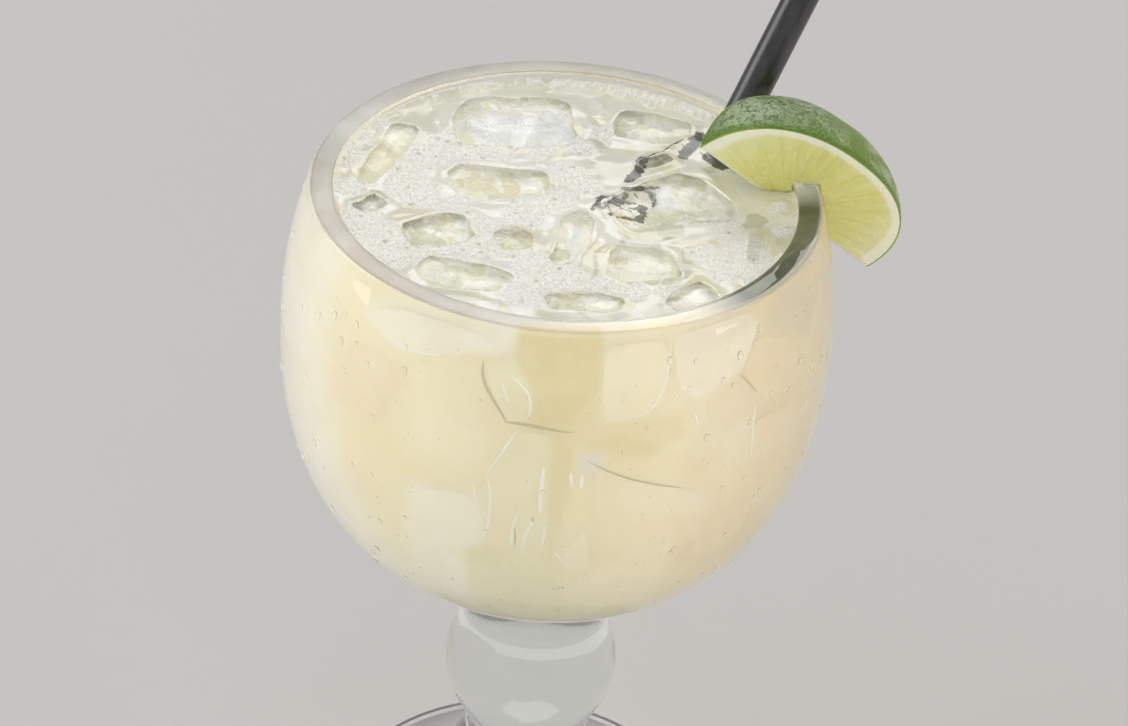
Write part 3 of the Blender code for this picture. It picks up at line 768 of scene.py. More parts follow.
def inner_profile(top_z, grow=0.0, steps_below=56, steps_above=18):
    """The bowl's inside from its bottom centre up to top_z, moved outwards by grow."""
    depth = BOWL_WIDEST_Z - BOWL_INNER_BOTTOM_Z + grow
    points = []
    for angle in spread(0.0, math.pi / 2, steps_below):
        across = math.sin(angle)
        z = BOWL_WIDEST_Z - depth * superellipse(across, BOWL_INNER_SQUARENESS)
        points.append(((BOWL_INNER_RADIUS + grow) * across, z))
    levels = spread(BOWL_WIDEST_Z, top_z, steps_above) + [top_z]
    return points + [(inner_radius(z) + grow, z) for z in levels]


def rim_profile(steps=18):
    """The rim's rounded top, from the inner wall over to the outer wall."""
    points = []
    for i in range(1, steps):
        angle = math.pi * (1.0 - i / steps)
        across = math.copysign(abs(math.cos(angle)) ** (2.0 / RIM_SQUARENESS), math.cos(angle))
        up = math.sin(angle) ** (2.0 / RIM_SQUARENESS)
        points.append((RIM_MIDDLE_RADIUS + RIM_HALF_WIDTH * across, RIM_BASE_Z + RIM_CROWN * up))
    return points


def neck_radius(z):
    share = (z - LOWER_NECK_Z) / (BOWL_OUTER_BOTTOM_Z - LOWER_NECK_Z)
    return LOWER_NECK_RADIUS + (UPPER_NECK_RADIUS - LOWER_NECK_RADIUS) * share


def blend(*radii):
    """A soft maximum, which rounds the corner where two forms meet."""
    return sum(radius**NECK_BLEND for radius in radii) ** (1.0 / NECK_BLEND)


def bowl_outer_profile(steps_above=16, steps_below=56):
    """The bowl's outside from the rim down to its neck."""
    points = [(outer_radius(z), z) for z in spread(RIM_BASE_Z, BOWL_WIDEST_Z, steps_above)]
    depth = BOWL_WIDEST_Z - BOWL_OUTER_BOTTOM_Z
    for angle in spread(0.0, math.pi / 2, steps_below):
        across = math.cos(angle)
        z = BOWL_WIDEST_Z - depth * superellipse(across, BOWL_OUTER_SQUARENESS)
        radius = BOWL_OUTER_RADIUS * across
        points.append((blend(radius, neck_radius(z)) if radius < 2 * UPPER_NECK_RADIUS else radius, z))
    return points


def stem_profile(steps=70):
    """The neck and the knob, from the bowl down to the foot."""
    points = []
    for z in spread(BOWL_OUTER_BOTTOM_Z, LOWER_NECK_Z, steps):
        knob = KNOB_RADIUS * superellipse(min(1.0, abs(z - KNOB_CENTRE_Z) / KNOB_HALF_HEIGHT), 2.0)
        points.append((blend(neck_radius(z), knob), z))
    return points


def flare_z(radius):
    """Height of the foot's upper side, out to its shoulder."""
    flare = math.exp(-(radius - LOWER_NECK_RADIUS) / FOOT_FLARE_LENGTH)
    return FOOT_FLARE_Z + (LOWER_NECK_Z - FOOT_FLARE_Z) * flare


def foot_profile(steps=40, edge_steps=12):
    """The flared foot, its rounded edge and its flat underside in to the axis."""
    points = [(radius, flare_z(radius)) for radius in spread(LOWER_NECK_RADIUS, FOOT_SHOULDER_RADIUS, steps)]
    for i in range(edge_steps + 1):
        angle = math.pi / 2 - math.pi * i / edge_steps
        height = flare_z(FOOT_SHOULDER_RADIUS) - FOOT_EDGE_Z if angle > 0 else FOOT_EDGE_Z
        inner = FOOT_SHOULDER_RADIUS if angle > 0 else FOOT_BASE_RADIUS
        radius = inner + (FOOT_RADIUS - inner) * math.cos(angle)
        points.append((radius, FOOT_EDGE_Z + height * math.sin(angle)))
    return points + [(0.0, 0.0)]


def cut_away(obj, others):
    """Cuts the others out of obj, applies it and removes them."""
    for other in others:
        modifier = obj.modifiers.new(other.name, "BOOLEAN")
        modifier.operation = "DIFFERENCE"
        modifier.solver = "MANIFOLD"
        modifier.object = other
    graph = bpy.context.evaluated_depsgraph_get()
    mesh = bpy.data.meshes.new_from_object(obj.evaluated_get(graph))
    obj.modifiers.clear()
    obj.data = mesh
    for other in others:
        bpy.data.objects.remove(other, do_unlink=True)


def joined(name, rings, sides, placings, mat):
    """One mesh of many balls of few faces. Each placing is (centre, three axis vectors as rows)."""
    profile = [(math.sin(a), -math.cos(a)) for a in np.linspace(0.0, math.pi, rings + 1)]
    profile[0] = (0.0, -1.0)
    profile[-1] = (0.0, 1.0)
    points, faces = turned(profile, sides)
    every_point = np.concatenate([np.array(points) @ axes + centre for centre, axes in placings])
    starts = range(0, len(every_point), len(points))
    return add_mesh(name, every_point, [[start + v for v in face] for start in starts for face in faces], mat)


def on_wall(place, inwards):
    """The point at a place of the unrolled wall, in mm round and up, moved into the drink by inwards."""
    radius = inner_radius(place.y * MM) - inwards
    turn = place.x * MM / BOWL_INNER_RADIUS
    return Vector((radius * math.cos(turn), radius * math.sin(turn), place.y * MM))


def unrolled(corners):
    """Corners of (degrees round, mm up) as places of the unrolled wall."""
    return [Vector((math.radians(turn) * BOWL_INNER_RADIUS / MM, z)) for turn, z in corners]


# ---------------------------------------------------------------- goblet


def rim_smoke(x, y, z):
    """How dark the rim top is painted at a point of the goblet, as a painted reflection of dark surroundings,
    from 0 to 1, and less along its outer edge.
    """
    crown = (z - RIM_BASE_Z) / RIM_CROWN
    far = abs(math.degrees(math.atan2(y, x)) - RIM_DARK_REFLECTION_MIDDLE) / RIM_DARK_REFLECTION_HALF_WIDTH
    strip = clamp((RIM_OUTER_RADIUS - RIM_STRIP_PLACE - math.hypot(x, y)) / RIM_STRIP_WIDTH)
    smoke = RIM_STRIP_DARK_REFLECTION + (1.0 - RIM_STRIP_DARK_REFLECTION) * strip
    return clamp(3.0 * (crown - RIM_DARK_REFLECTION_START)) * clamp(2.5 - 2.5 * far) * smoke


def rim_mist(x, y, z):
    """How misty the goblet is at a point of it, from 0 to 1; the same share paints the rim top grey, a
    painted reflection of grey surroundings.
    """
    crown = (z - RIM_BASE_Z) / RIM_CROWN
    facing = math.cos(math.atan2(y, x) - RIM_MIST_AND_REFLECTION_HEADING)
    return clamp(4.0 * (crown - RIM_MIST_AND_REFLECTION_START)) * min(1.0, max(RIM_MIST_AND_REFLECTION_LEAST, 0.8 + facing))


def make_glass():
    profile = inner_profile(RIM_BASE_Z) + rim_profile() + bowl_outer_profile()
    profile += stem_profile() + foot_profile()
    points, faces = turned(profile, GLASS_SEGMENTS)
    goblet = add_mesh("goblet", points, [face[::-1] for face in faces], glass_look())
    # The rim top's mist, which is also painted grey as a reflection of grey surroundings, as an attribute.
    mist = [rim_mist(*point) for point in points]
    # The painted dark reflection on the rim top near the lime, as an attribute.
    add_values(goblet.data, mist=mist, smoke=[rim_smoke(*point) for point in points])
    goblet.visible_shadow = False
    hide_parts("glass")
    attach(goblet, "root")


# ---------------------------------------------------------------- ice


def cube_share(size):
    """How much of the full relief a cube has."""
    return min(1.0, min(size[:2]) / ICE_LARGE_WIDTH)


def cube_flats(size, number):
    """The planes that a cube has melted back to, as (normal, distance from its middle)."""
    draw = random.Random(SEED * 100 + number)
    power = ICE_ROUNDNESS / (ICE_ROUNDNESS - 1.0)
    flats = []
    for _flat in range(ICE_FACETS):
        normal = Vector((draw.gauss(0.0, 1.0), draw.gauss(0.0, 1.0), abs(draw.gauss(0.9, 0.5)))).normalized()
        reach = sum(abs(n * length / 2) ** power for n, length in zip(normal, size)) ** (1.0 / power)
        flats.append((normal, reach - draw.uniform(*ICE_FACET_DEPTHS) * cube_share(size)))
    return flats


def cube_grid(steps):
    """(points, faces) of a cube from -1 to 1 with its sides parted into squares."""
    grid = np.linspace(-1.0, 1.0, steps + 1)
    index = {}
    faces = []
    for axis in range(3):
        for side in (-1.0, 1.0):
            for u0, u1 in zip(grid, grid[1:]):
                for v0, v1 in zip(grid, grid[1:]):
                    square = np.array([(side, u0, v0), (side, u1, v0), (side, u1, v1), (side, u0, v1)])
                    corners = [tuple(co) for co in np.roll(square, axis, axis=1)]
                    face = [index.setdefault(co, len(index)) for co in corners]
                    faces.append(face if side > 0 else face[::-1])
    return list(index), faces


def melted_cube(size, seed, steps=ICE_GRID, grow=0.0):
    """(points, faces) of an ice cube with rounded edges and a wavy surface, as the solid has it."""
    points, faces = cube_grid(steps)
    drift = ICE_NOISE_STEP * seed
    flats = cube_flats(size, seed)
    made = []
    for co in points:
        out = Vector(co) / sum(abs(c) ** ICE_ROUNDNESS for c in co) ** (1.0 / ICE_ROUNDNESS)
        place = Vector(c * s / 2 for c, s in zip(out, size))
        bump = noise.noise(place / ICE_LUMP_SIZE + drift) * ICE_UNEVENNESS
        bump += noise.noise(place / ICE_WAVE_LENGTH + drift * 1.7) * ICE_WAVE_HEIGHT
        point = place + Vector(c * (grow + bump) for c in out)
        for normal, far in flats:
            point -= normal * max(0.0, point.dot(normal) - far - grow)
        made.append(point)
    return made, faces


def place_cube(points, row):
    x, y, _length, _width, height, yaw, pitch, roll, rise = row
    turn = Euler([math.radians(angle) for angle in (roll, pitch, yaw)]).to_matrix()
    centre = Vector((x, y, 0.0)) * MM
    centre.z = DRINK_LEVEL_Z + (rise - height / 2) * MM
    return [centre + turn @ point for point in points]


def window_floor(point, inside, share, seed):
    """Raises a point of a cube to where the cloudy drink hides what lies deeper, with an uneven floor.

    inside runs from 0 at the cube's sides to 1 at its middle, and share is how deep the floor lies.
    """
    below = DRINK_LEVEL_Z - point.z
    if below <= 0.0:
        return point
    ridge = 1.0 - 3.0 * abs(noise.noise(Vector((point.x, point.y, seed * 0.01)) / ICE_FLOOR_LENGTH))
    deep = ICE_WINDOW_DEPTH - ICE_WINDOW_LIP + ridge * ICE_FLOOR_RELIEF
    depth = max(ICE_WINDOW_LIP, ICE_WINDOW_LIP + deep * clamp(inside / ICE_WINDOW_SLOPE) * share)
    return Vector((point.x, point.y, DRINK_LEVEL_Z - depth * (1.0 - math.exp(-below / depth))))


def make_ice():
    """The cubes that show, and the cutters of their places in the drink."""
    clear = ice_look("clear_ice", (0.97, 0.98, 0.955), 0.25)
    milky = ice_look("milky_ice", (0.98, 0.985, 0.98), 0.7)
    cutters = []
    for number, row in enumerate(ICE_CUBES, start=1):
        size = [length * MM for length in row[2:5]]
        points, faces = melted_cube(size, number)
        look = milky if number == 1 else clear
        cube = add_mesh(f"ice_cube_{number:02d}", place_cube(points, row), faces, look)
        cube.visible_shadow = False
        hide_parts(f"ice_{number:02d}")
        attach(cube, "root")
        points, faces = melted_cube(size, number, ICE_ROOM_GRID, -ICE_OVERLAP)
        insides = [1.0 - max(abs(p.x) / size[0], abs(p.y) / size[1]) * 2.0 for p in points]
        placed = zip(place_cube(points, row), insides)
        room = [window_floor(point, inside, cube_share(size), number) for point, inside in placed]
        cutters.append(add_mesh(f"place_{number:02d}", room, faces))
    return cutters


def sunk_outline(corners):
    """The corners' closed outline on the unrolled wall, with its corners rounded."""
    loop = unrolled(corners)
    if sum(a.x * b.y - b.x * a.y for a, b in pairs(loop)) < 0.0:
        loop.reverse()
    cuts = (SUNK_CORNER_CUT, 1.0 - SUNK_CORNER_CUT)
    for _pass in range(SUNK_ROUNDING):
        loop = [a.lerp(b, share) for a, b in pairs(loop) for share in cuts]
    fine = []
    for a, b in pairs(loop):
        steps = math.ceil((b - a).length / SUNK_OUTLINE_STEP)
        fine += [a.lerp(b, step / steps) for step in range(steps)]
    return fine


def sunk_slab(corners, depths, outer, scale):
    """(points, faces) of a lump of ice that lies against the inside of the wall."""
    loop = sunk_outline(corners)
    count = len(loop)
    middle = sum(loop, Vector((0.0, 0.0))) / count
    low = min(p.x for p in loop)
    high = max(p.x for p in loop)
    points = []
    for ring in range(2 * SUNK_RINGS):
        front = ring < SUNK_RINGS
        share = ((ring if front else 2 * SUNK_RINGS - 1 - ring) + 1) / SUNK_RINGS
        for corner in loop:
            place = middle.lerp(corner, share * scale)
            across = (place.x - low) / (high - low)
            depth = (depths[0] + (depths[1] - depths[0]) * across) * MM
            depth *= 1.0 + SUNK_RELIEF * noise.noise(Vector((place.x, place.y, 0.0)) / SUNK_RELIEF_LENGTH)
            points.append(on_wall(place, -outer if front else depth * max(0.0, 1.0 - share**3) ** 1.2))
    faces = bridged(count, 2 * SUNK_RINGS)
    start = len(points)
    last = start - count
    points.append(on_wall(middle, -outer))
    points.append(on_wall(middle, sum(depths) / 2 * MM))
    for i, j in pairs(list(range(count))):
        faces.append((start, j, i))
        faces.append((start + 1, last + i, last + j))
    return points, [face[::-1] for face in faces]


def make_sunk_ice():
    """The lumps that show through the wall, and the cutters of their places in the drink."""
    look = drink_look("sunk_ice", 0.0)
    cutters = []
    for number, (tone, share, *depths, corners) in enumerate(SUNK_ICE, start=1):
        points, faces = sunk_slab(corners, depths, WALL_OVERLAP + SUNK_PROUD, 1.0)
        lump = add_mesh(f"sunk_ice_{number}", points, faces, look)
        tones = wall_tones(np.array([point[:] for point in points]))
        tones[:, :3] += (np.array(TONES[tone]) - tones[:, :3]) * share
        paint(lump.data, tones)
        count = (len(points) - 2) // (2 * SUNK_RINGS)
        outline = range((SUNK_RINGS - 1) * count, SUNK_RINGS * count)
        for edge in lump.data.edges:
            edge.use_edge_sharp = all(v in outline for v in edge.vertices)
        lump.visible_shadow = False
        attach(lump, "root")
        depths = [depth * SUNK_ROOM_DEPTH for depth in depths]
        points, faces = sunk_slab(corners, depths, WALL_OVERLAP * 4, SUNK_ROOM_SCALE)
        cutters.append(add_mesh(f"sunk_place_{number}", points, faces))
    return cutters


def along_crease(corners, share):
    """Place on the smooth line through the corners, on the unrolled wall."""
    loop = unrolled(corners)
    while len(loop) > 1:
        loop = [a.lerp(b, share) for a, b in zip(loop, loop[1:])]
    return loop[0]


def crease_mesh(corners, half_width):
    """(points, faces) of a thin spindle along the wall, half sunk in it."""
    points = []
    for step in range(CREASE_STEPS + 1):
        share = step / CREASE_STEPS
        ahead = along_crease(corners, min(1.0, share + 0.01)) - along_crease(corners, max(0.0, share - 0.01))
        across = Vector((-ahead.y, ahead.x)).normalized()
        thick = half_width * (0.04 + math.sin(math.pi * share) ** 0.6)
        for side in range(CREASE_SIDES):
            angle = 2.0 * math.pi * side / CREASE_SIDES
            out = WALL_OVERLAP + CREASE_PROUD + CREASE_RELIEF * thick * MM * math.sin(angle)
            points.append(on_wall(along_crease(corners, share) + across * thick * math.cos(angle), -out))
    faces = bridged(CREASE_SIDES, CREASE_STEPS + 1)
    faces.append(range(CREASE_SIDES)[::-1])
    faces.append(range(len(points) - CREASE_SIDES, len(points)))
    return points, faces


def make_creases():
    """The edges of sunken ice at the wall, as one piece of painted highlight lines and one of painted dark
    lines.
    """
    kinds = (
        ("painted_ice_edge_highlights", HIGHLIGHT_CREASES, HIGHLIGHT_CREASE_COLOUR),
        ("painted_ice_edge_shade", SHADE_CREASES, SHADE_CREASE_COLOUR),
    )
    for name, creases, colour in kinds:
        points = []
        faces = []
        for corners, half_width in creases:
            more_points, more_faces = crease_mesh(corners, half_width)
            faces += [[len(points) + v for v in face] for face in more_faces]
            points += more_points
        piece = add_mesh(name, points, faces, crease_look(name, colour))
        piece.visible_shadow = False
        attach(piece, "root")


# ---------------------------------------------------------------- drink


def drink_profile():
    """The drink's outline: up the wall, over the film that clings to it, and in over the surface."""
    profile = inner_profile(DRINK_LEVEL_Z + MENISCUS_RISE, grow=WALL_OVERLAP)
    radius = inner_radius(DRINK_LEVEL_Z) - SURFACE_EDGE_GAP
    while radius > SURFACE_STEP:
        profile.append((radius, DRINK_LEVEL_Z))
        radius -= SURFACE_STEP
    return profile + [(0.0, DRINK_LEVEL_Z)]


def surface_height(x, y, ice, to_wall):
    """Height of the open surface: ripples, and the rise at the wall and at the ice."""
    here = Vector((x, y, 0.0))
    ripple = noise.noise(here / RIPPLE_LENGTH + Vector((3.0, 8.0, 1.0))) * RIPPLE_HEIGHT
    fine = noise.noise(here / (RIPPLE_LENGTH * FINE_RIPPLE_SCALE)) * RIPPLE_HEIGHT * FINE_RIPPLE_SCALE
    _place, _normal, _face, to_ice = ice.find_nearest(Vector((x, y, DRINK_LEVEL_Z)))
    climb = MENISCUS_RISE * math.exp(-to_wall / MENISCUS_REACH)
    at_ice = MENISCUS_RISE * ICE_MENISCUS_RISE * math.exp(-to_ice / (MENISCUS_REACH * ICE_MENISCUS_REACH))
    return DRINK_LEVEL_Z + ripple + fine + max(climb, at_ice)


def foam_amount(point):
    """From 0, clear, to 1, froth."""
    x, y, _z = point
    ragged = noise.noise(Vector((x, y, 0.0)) / FOAM_NOISE_LENGTH) * FOAM_RAGGEDNESS
    ragged += noise.noise(Vector((x, y, 4.0)) / (FOAM_NOISE_LENGTH * 2.5)) * FOAM_RAGGEDNESS
    far = min(math.hypot(x - px * MM, y - py * MM) / (radius * MM) for px, py, radius in FOAM_PATCHES)
    return clamp((1.35 - far + ragged * 0.6 - 0.15) / 0.35)


def inside_by(around, high, corners):
    """How far each place of the unrolled wall lies inside the corners' outline, or below 0 outside it."""
    inside = np.zeros(len(around), bool)
    nearest = np.full(len(around), np.inf)
    for (x, z), (next_x, next_z) in pairs(corners):
        along_x, along_z = next_x - x, next_z - z
        part = ((around - x) * along_x + (high - z) * along_z) / (along_x**2 + along_z**2)
        part = np.clip(part, 0.0, 1.0)
        nearest = np.minimum(nearest, np.hypot(around - x - part * along_x, high - z - part * along_z))
        crossing = along_x * (high - z) / (along_z if along_z else 1.0) + x
        inside ^= ((z > high) != (next_z > high)) & (around < crossing)
    return np.where(inside, nearest, -nearest)


def wall_tones(places):
    """The drink's colour at each place, from the patches at the wall, as rows of red, green, blue and 1."""
    turns = (np.degrees(np.arctan2(places[:, 1], places[:, 0])) + 270.0) % 360.0 - 270.0
    scale = math.radians(BOWL_INNER_RADIUS / MM)
    colours = np.tile(np.array(DRINK_COLOUR), (len(places), 1))
    for name, share, soft, corners in WALL_PATCHES:
        corners = [(turn * scale, z) for turn, z in corners]
        amount = np.clip(0.5 + inside_by(turns * scale, places[:, 2] / MM, corners) / soft, 0.0, 1.0)
        amount = (amount * amount * (3.0 - 2.0 * amount) * share)[:, None]
        colours = colours * (1.0 - amount) + np.array(TONES[name]) * amount
    film = (places[:, 2] > DRINK_LEVEL_Z + FILM_START)[:, None]
    colours = np.where(film, np.array(TONES["white"]), colours)
    return np.hstack([colours, np.ones((len(places), 1))])


def near_spot(point, spots, start, fall):
    """From 0 to 1 at the nearest of the spots, as start less fall times the share of its radius."""
    far = min(math.hypot(point.x / MM - x, point.y / MM - y) / radius for x, y, radius in spots)
    return clamp(start - fall * far)


def ghost_amount(point):
    """From 0 to 1 where the dark straw, seen through the ice and the drink, is painted onto what shows."""
    here = Vector((point.x, point.y)) / MM
    most = 0.0
    for points, half_width, strength in STRAW_GHOSTS:
        for start, end in zip(points, points[1:]):
            _foot, share = intersect_point_line(here, Vector(start), Vector(end))
            near = Vector(start).lerp(Vector(end), clamp(share))
            most = max(most, strength * min(1.0, 1.6 - 1.1 * (here - near).length / half_width))
    return most


def sharpen_wall_holes(mesh):
    """Marks the edges of the holes in the drink's wall as sharp, so that the wall keeps its shade there."""
    mesh.set_sharp_from_angle(angle=HOLE_ANGLE)
    at_wall = [math.hypot(v.co.x, v.co.y) > inner_radius(v.co.z) + WALL_OVERLAP / 2 for v in mesh.vertices]
    for edge in mesh.edges:
        edge.use_edge_sharp = edge.use_edge_sharp and all(at_wall[v] for v in edge.vertices)


def surface_tree(objects):
    """One search tree of the surfaces of several meshes."""
    points = []
    faces = []
    for obj in objects:
        faces += [[len(points) + v for v in face.vertices] for face in obj.data.polygons]
        points += [v.co.copy() for v in obj.data.vertices]
    return BVHTree.FromPolygons(points, faces)


def drink_mesh(ice):
    """(points, faces) of the drink before anything is cut out of it. ice is the search tree of the cubes."""
    points, faces = turned(drink_profile(), DRINK_SEGMENTS)
    edge = inner_radius(DRINK_LEVEL_Z)
    for i, (x, y, z) in enumerate(points):
        from_axis = math.hypot(x, y)
        if z == DRINK_LEVEL_Z and from_axis < edge:
            points[i] = (x, y, surface_height(x, y, ice, edge - from_axis))
    return points, faces


def share_looks(mesh):
    """Gives each face of the drink its look: 1 on the open surface, 2 under the ice, and 0 elsewhere."""
    edge = inner_radius(DRINK_LEVEL_Z)
    for face in mesh.polygons:
        face.use_smooth = True
        out = math.hypot(face.center.x, face.center.y)
        if face.normal.z > SURFACE_SLOPE and face.center.z > DRINK_LEVEL_Z - SURFACE_SINK and out < edge:
            face.material_index = 1
        elif face.center.z > DRINK_LEVEL_Z - 2 * ICE_WINDOW_DEPTH and out < edge - WINDOW_EDGE_GAP:
            face.material_index = 2


def make_drink(cutters, sunk, straw, wedge):
    """The drink, of which the search tree of its surface is returned."""
    looks = drink_look("cloudy_drink", 0.006), surface_look(), window_look()
    drink = add_mesh("cloudy_drink", *drink_mesh(surface_tree(cutters)), *looks)
    cut_away(drink, cutters + sunk + [straw, wedge])
    mesh = drink.data
    sharpen_wall_holes(mesh)
    share_looks(mesh)
    places = [vert.co for vert in mesh.vertices]
    add_values(
        mesh,
        foam=[foam_amount(place) for place in places],
        calm=[near_spot(place, CALM_SPOTS, 2.4, 2.0) for place in places],
        white=[near_spot(place, WHITE_SPOTS, 2.0, 2.0) for place in places],
        # ghost and swirl: where the dark straw seen through the ice is painted, and where that painted dark
        # breaks up.
        ghost=[ghost_amount(place) for place in places],
        swirl=[near_spot(place, STRAW_SWIRLS, 2.0, 1.5) for place in places],
    )
    paint(mesh, wall_tones(np.array([place[:] for place in places])))
    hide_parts("drink")
    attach(drink, "root")
    return surface_tree([drink])


def drawn_size(draw, sizes, power):
    """A size between the two sizes. The higher the power, the more sizes are small."""
    return sizes[0] + (sizes[1] - sizes[0]) * draw.random() ** power


def froth_beads(draw, surface):
    """Placings of loose bubbles on the froth."""
    placings = []
    while len(placings) < BEAD_COUNT:
        px, py, radius = draw.choice(FOAM_PATCHES)
        turn = draw.uniform(0.0, 2.0 * math.pi)
        out = radius * 1.1 * math.sqrt(draw.random())
        here = Vector(((px + out * math.cos(turn)) * MM, (py + out * math.sin(turn)) * MM, 0.0))
        if here.length > inner_radius(DRINK_LEVEL_Z) - BEAD_EDGE_GAP or foam_amount(here) < BEAD_FROTH:
            continue
        here.z = 0.2
        hit, normal, _face, _far = surface.ray_cast(here, Vector((0.0, 0.0, -1.0)))
        if hit is None or hit.z < DRINK_LEVEL_Z - SURFACE_SINK or normal.z < BEAD_SLOPE:
            continue
        placings.append((np.array(hit), np.eye(3) * drawn_size(draw, BEAD_SIZES, 2.5)))
    return placings


def wall_beads(draw):
    """Placings of bubbles along the back wall."""
    placings = []
    for _bead in range(WALL_BEAD_COUNT):
        turn = draw.triangular(*WALL_BEAD_ARC)
        size = drawn_size(draw, WALL_BEAD_SIZES, 4)
        out = inner_radius(DRINK_LEVEL_Z) - size - abs(draw.gauss(0.0, WALL_BEAD_SPREAD))
        z = DRINK_LEVEL_Z + size * 0.4 + WALL_BEAD_LIFT * draw.random()
        placings.append((np.array((out * math.cos(turn), out * math.sin(turn), z)), np.eye(3) * size))
    return placings


def make_foam(surface):
    draw = random.Random(SEED)
    look = bubble_look()
    froth = joined("foam_beads", 3, 6, froth_beads(draw, surface), look)
    beads = joined("wall_beads", 7, 12, wall_beads(draw), look)
    for piece in (froth, beads):
        piece.visible_shadow = False
        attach(piece, "root")


# ---------------------------------------------------------------- straw


def lay_along_straw(points):
    lean = (STRAW_RIM_POINT - STRAW_LOWER_END).normalized()
    turn = lean.to_track_quat("Z", "Y").to_matrix()
    return [STRAW_LOWER_END + turn @ Vector(p) for p in points]


def make_straw():
    """The straw, and the rod that makes room for it in the drink."""
    bore = STRAW_RADIUS - STRAW_WALL
    lip = STRAW_WALL * 0.3
    profile = [(bore, 0.0), (STRAW_RADIUS, 0.0)]
    profile += [(STRAW_RADIUS, z) for z in np.linspace(0.002, STRAW_LENGTH - lip, STRAW_STEPS)]
    profile += [(STRAW_RADIUS - lip, STRAW_LENGTH), (bore + lip, STRAW_LENGTH), (bore, STRAW_LENGTH - lip)]
    points, faces = turned(profile, STRAW_SIDES)
    straw = add_mesh("dark_straw", lay_along_straw(points), faces, straw_look())
    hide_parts("straw")
    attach(straw, "root")
    room = STRAW_RADIUS - STRAW_OVERLAP
    rod = [(0.0, 0.001), (room, 0.001), (room, STRAW_LENGTH), (0.0, STRAW_LENGTH)]
    points, faces = turned(rod, STRAW_SIDES)
    return add_mesh("straw_room", lay_along_straw(points), faces)


# ---------------------------------------------------------------- lime wedge


def lime_axes():
    """Unit vectors along the core line, up the near cut face, and from the near face into the wedge."""
    along = Vector((math.cos(LIME_HEADING), math.sin(LIME_HEADING), 0.0)) * math.cos(LIME_SLOPE)
    along.z = -math.sin(LIME_SLOPE)
    level = Vector((0.0, 0.0, 1.0)).cross(along).normalized()
    upright = along.cross(level)
    near = upright * math.cos(LIME_ROLL) - level * math.sin(LIME_ROLL)
    inward = level * math.cos(LIME_ROLL) + upright * math.sin(LIME_ROLL)
    return along, near, inward


def skin_depth(s, r):
    """Distance from a point of a lengthwise section to the skin, near enough."""
    a = abs(s) / LIME_HALF_LENGTH
    b = abs(r) / LIME_RADIUS
    value = a**LIME_SQUARENESS + b**LIME_SQUARENESS
    power = LIME_SQUARENESS - 1.0
    slope = math.hypot(a**power / LIME_HALF_LENGTH, b**power / LIME_RADIUS) * LIME_SQUARENESS
    return max(0.0, (1.0 - value) / slope) if slope > 1e-9 else LIME_RADIUS


def lime_section():
    """The loop round the wedge, as (radial share, angle share) pairs."""
    loop = [(1.0, j / LIME_STEPS_ROUND) for j in range(LIME_STEPS_ROUND + 1)]
    loop += [(1.0 - k / LIME_STEPS_DEEP, 1.0) for k in range(1, LIME_STEPS_DEEP)]
    return loop + [(k / LIME_STEPS_DEEP, 0.0) for k in range(LIME_STEPS_DEEP)]


def flesh_relief(s, r, radial, turn):
    """How far the vesicles move a point of a cut face outwards.

    s and r are its distances along and from the core line, radial and turn its place in the section.
    """
    polar = Vector((math.atan2(r, s) * VESICLE_TURNS, math.hypot(s, r) / VESICLE_LENGTH, 5.0 * turn))
    inside = clamp((skin_depth(s, r) - VESICLE_MARGIN[0]) / VESICLE_MARGIN[1]) * min(1.0, radial * 6.0)
    return noise.noise(polar) * VESICLE_RELIEF * inside


def lime_mesh(grow=0.0, relief=1.0):
    """(points, faces) of the wedge, with pores in the skin and vesicles in the cut faces."""
    along, near, inward = lime_axes()
    middle = near * math.cos(LIME_WEDGE_ANGLE / 2) + inward * math.sin(LIME_WEDGE_ANGLE / 2)
    centre = LIME_CENTRE - middle * grow
    half_length = LIME_HALF_LENGTH + grow
    normals = (-inward, near * -math.sin(LIME_WEDGE_ANGLE) + inward * math.cos(LIME_WEDGE_ANGLE))
    points = [centre - along * half_length]
    loop = lime_section()
    count = len(loop)
    for i in range(1, LIME_STEPS_ALONG):
        share = -math.cos(math.pi * i / LIME_STEPS_ALONG)
        reach = (LIME_RADIUS + grow) * superellipse(abs(share), LIME_SQUARENESS)
        for radial, turn in loop:
            angle = LIME_WEDGE_ANGLE * turn
            outward = near * math.cos(angle) + inward * math.sin(angle)
            point = centre + along * share * half_length + outward * reach * radial
            if radial == 1.0:
                for length, height in SKIN_RELIEFS:
                    point += outward * noise.noise(point / length) * height * relief
            elif radial > 0.0:
                out = flesh_relief(share * half_length, reach * radial, radial, turn)
                point += normals[int(turn)] * out * relief
            points.append(point)
    points.append(centre + along * half_length)
    faces = [(w, z, y, x) for w, x, y, z in bridged(count, LIME_STEPS_ALONG - 1, 1)]
    last = len(points) - 1
    for j, k in pairs(list(range(count))):
        faces.append((0, 1 + j, 1 + k))
        faces.append((last, last - count + k, last - count + j))
    return points, faces


def rim_ring():
    """A ring a little larger than the rim and the wall below it, for the slot in the lime."""
    levels = spread(BOWL_WIDEST_Z, RIM_BASE_Z, 8) + [RIM_BASE_Z]
    profile = [(inner_radius(z) - RIM_CLEARANCE, z) for z in levels]
    for radius, z in rim_profile():
        wider = (radius - RIM_MIDDLE_RADIUS) * (RIM_HALF_WIDTH + RIM_CLEARANCE) / RIM_HALF_WIDTH
        profile.append((RIM_MIDDLE_RADIUS + wider, z + RIM_CLEARANCE))
    profile += [(outer_radius(z) + RIM_CLEARANCE, z) for z in reversed(levels)]
    points, faces = turned(profile, GLASS_SEGMENTS)
    return add_mesh("rim_ring", points, [face[::-1] for face in faces])


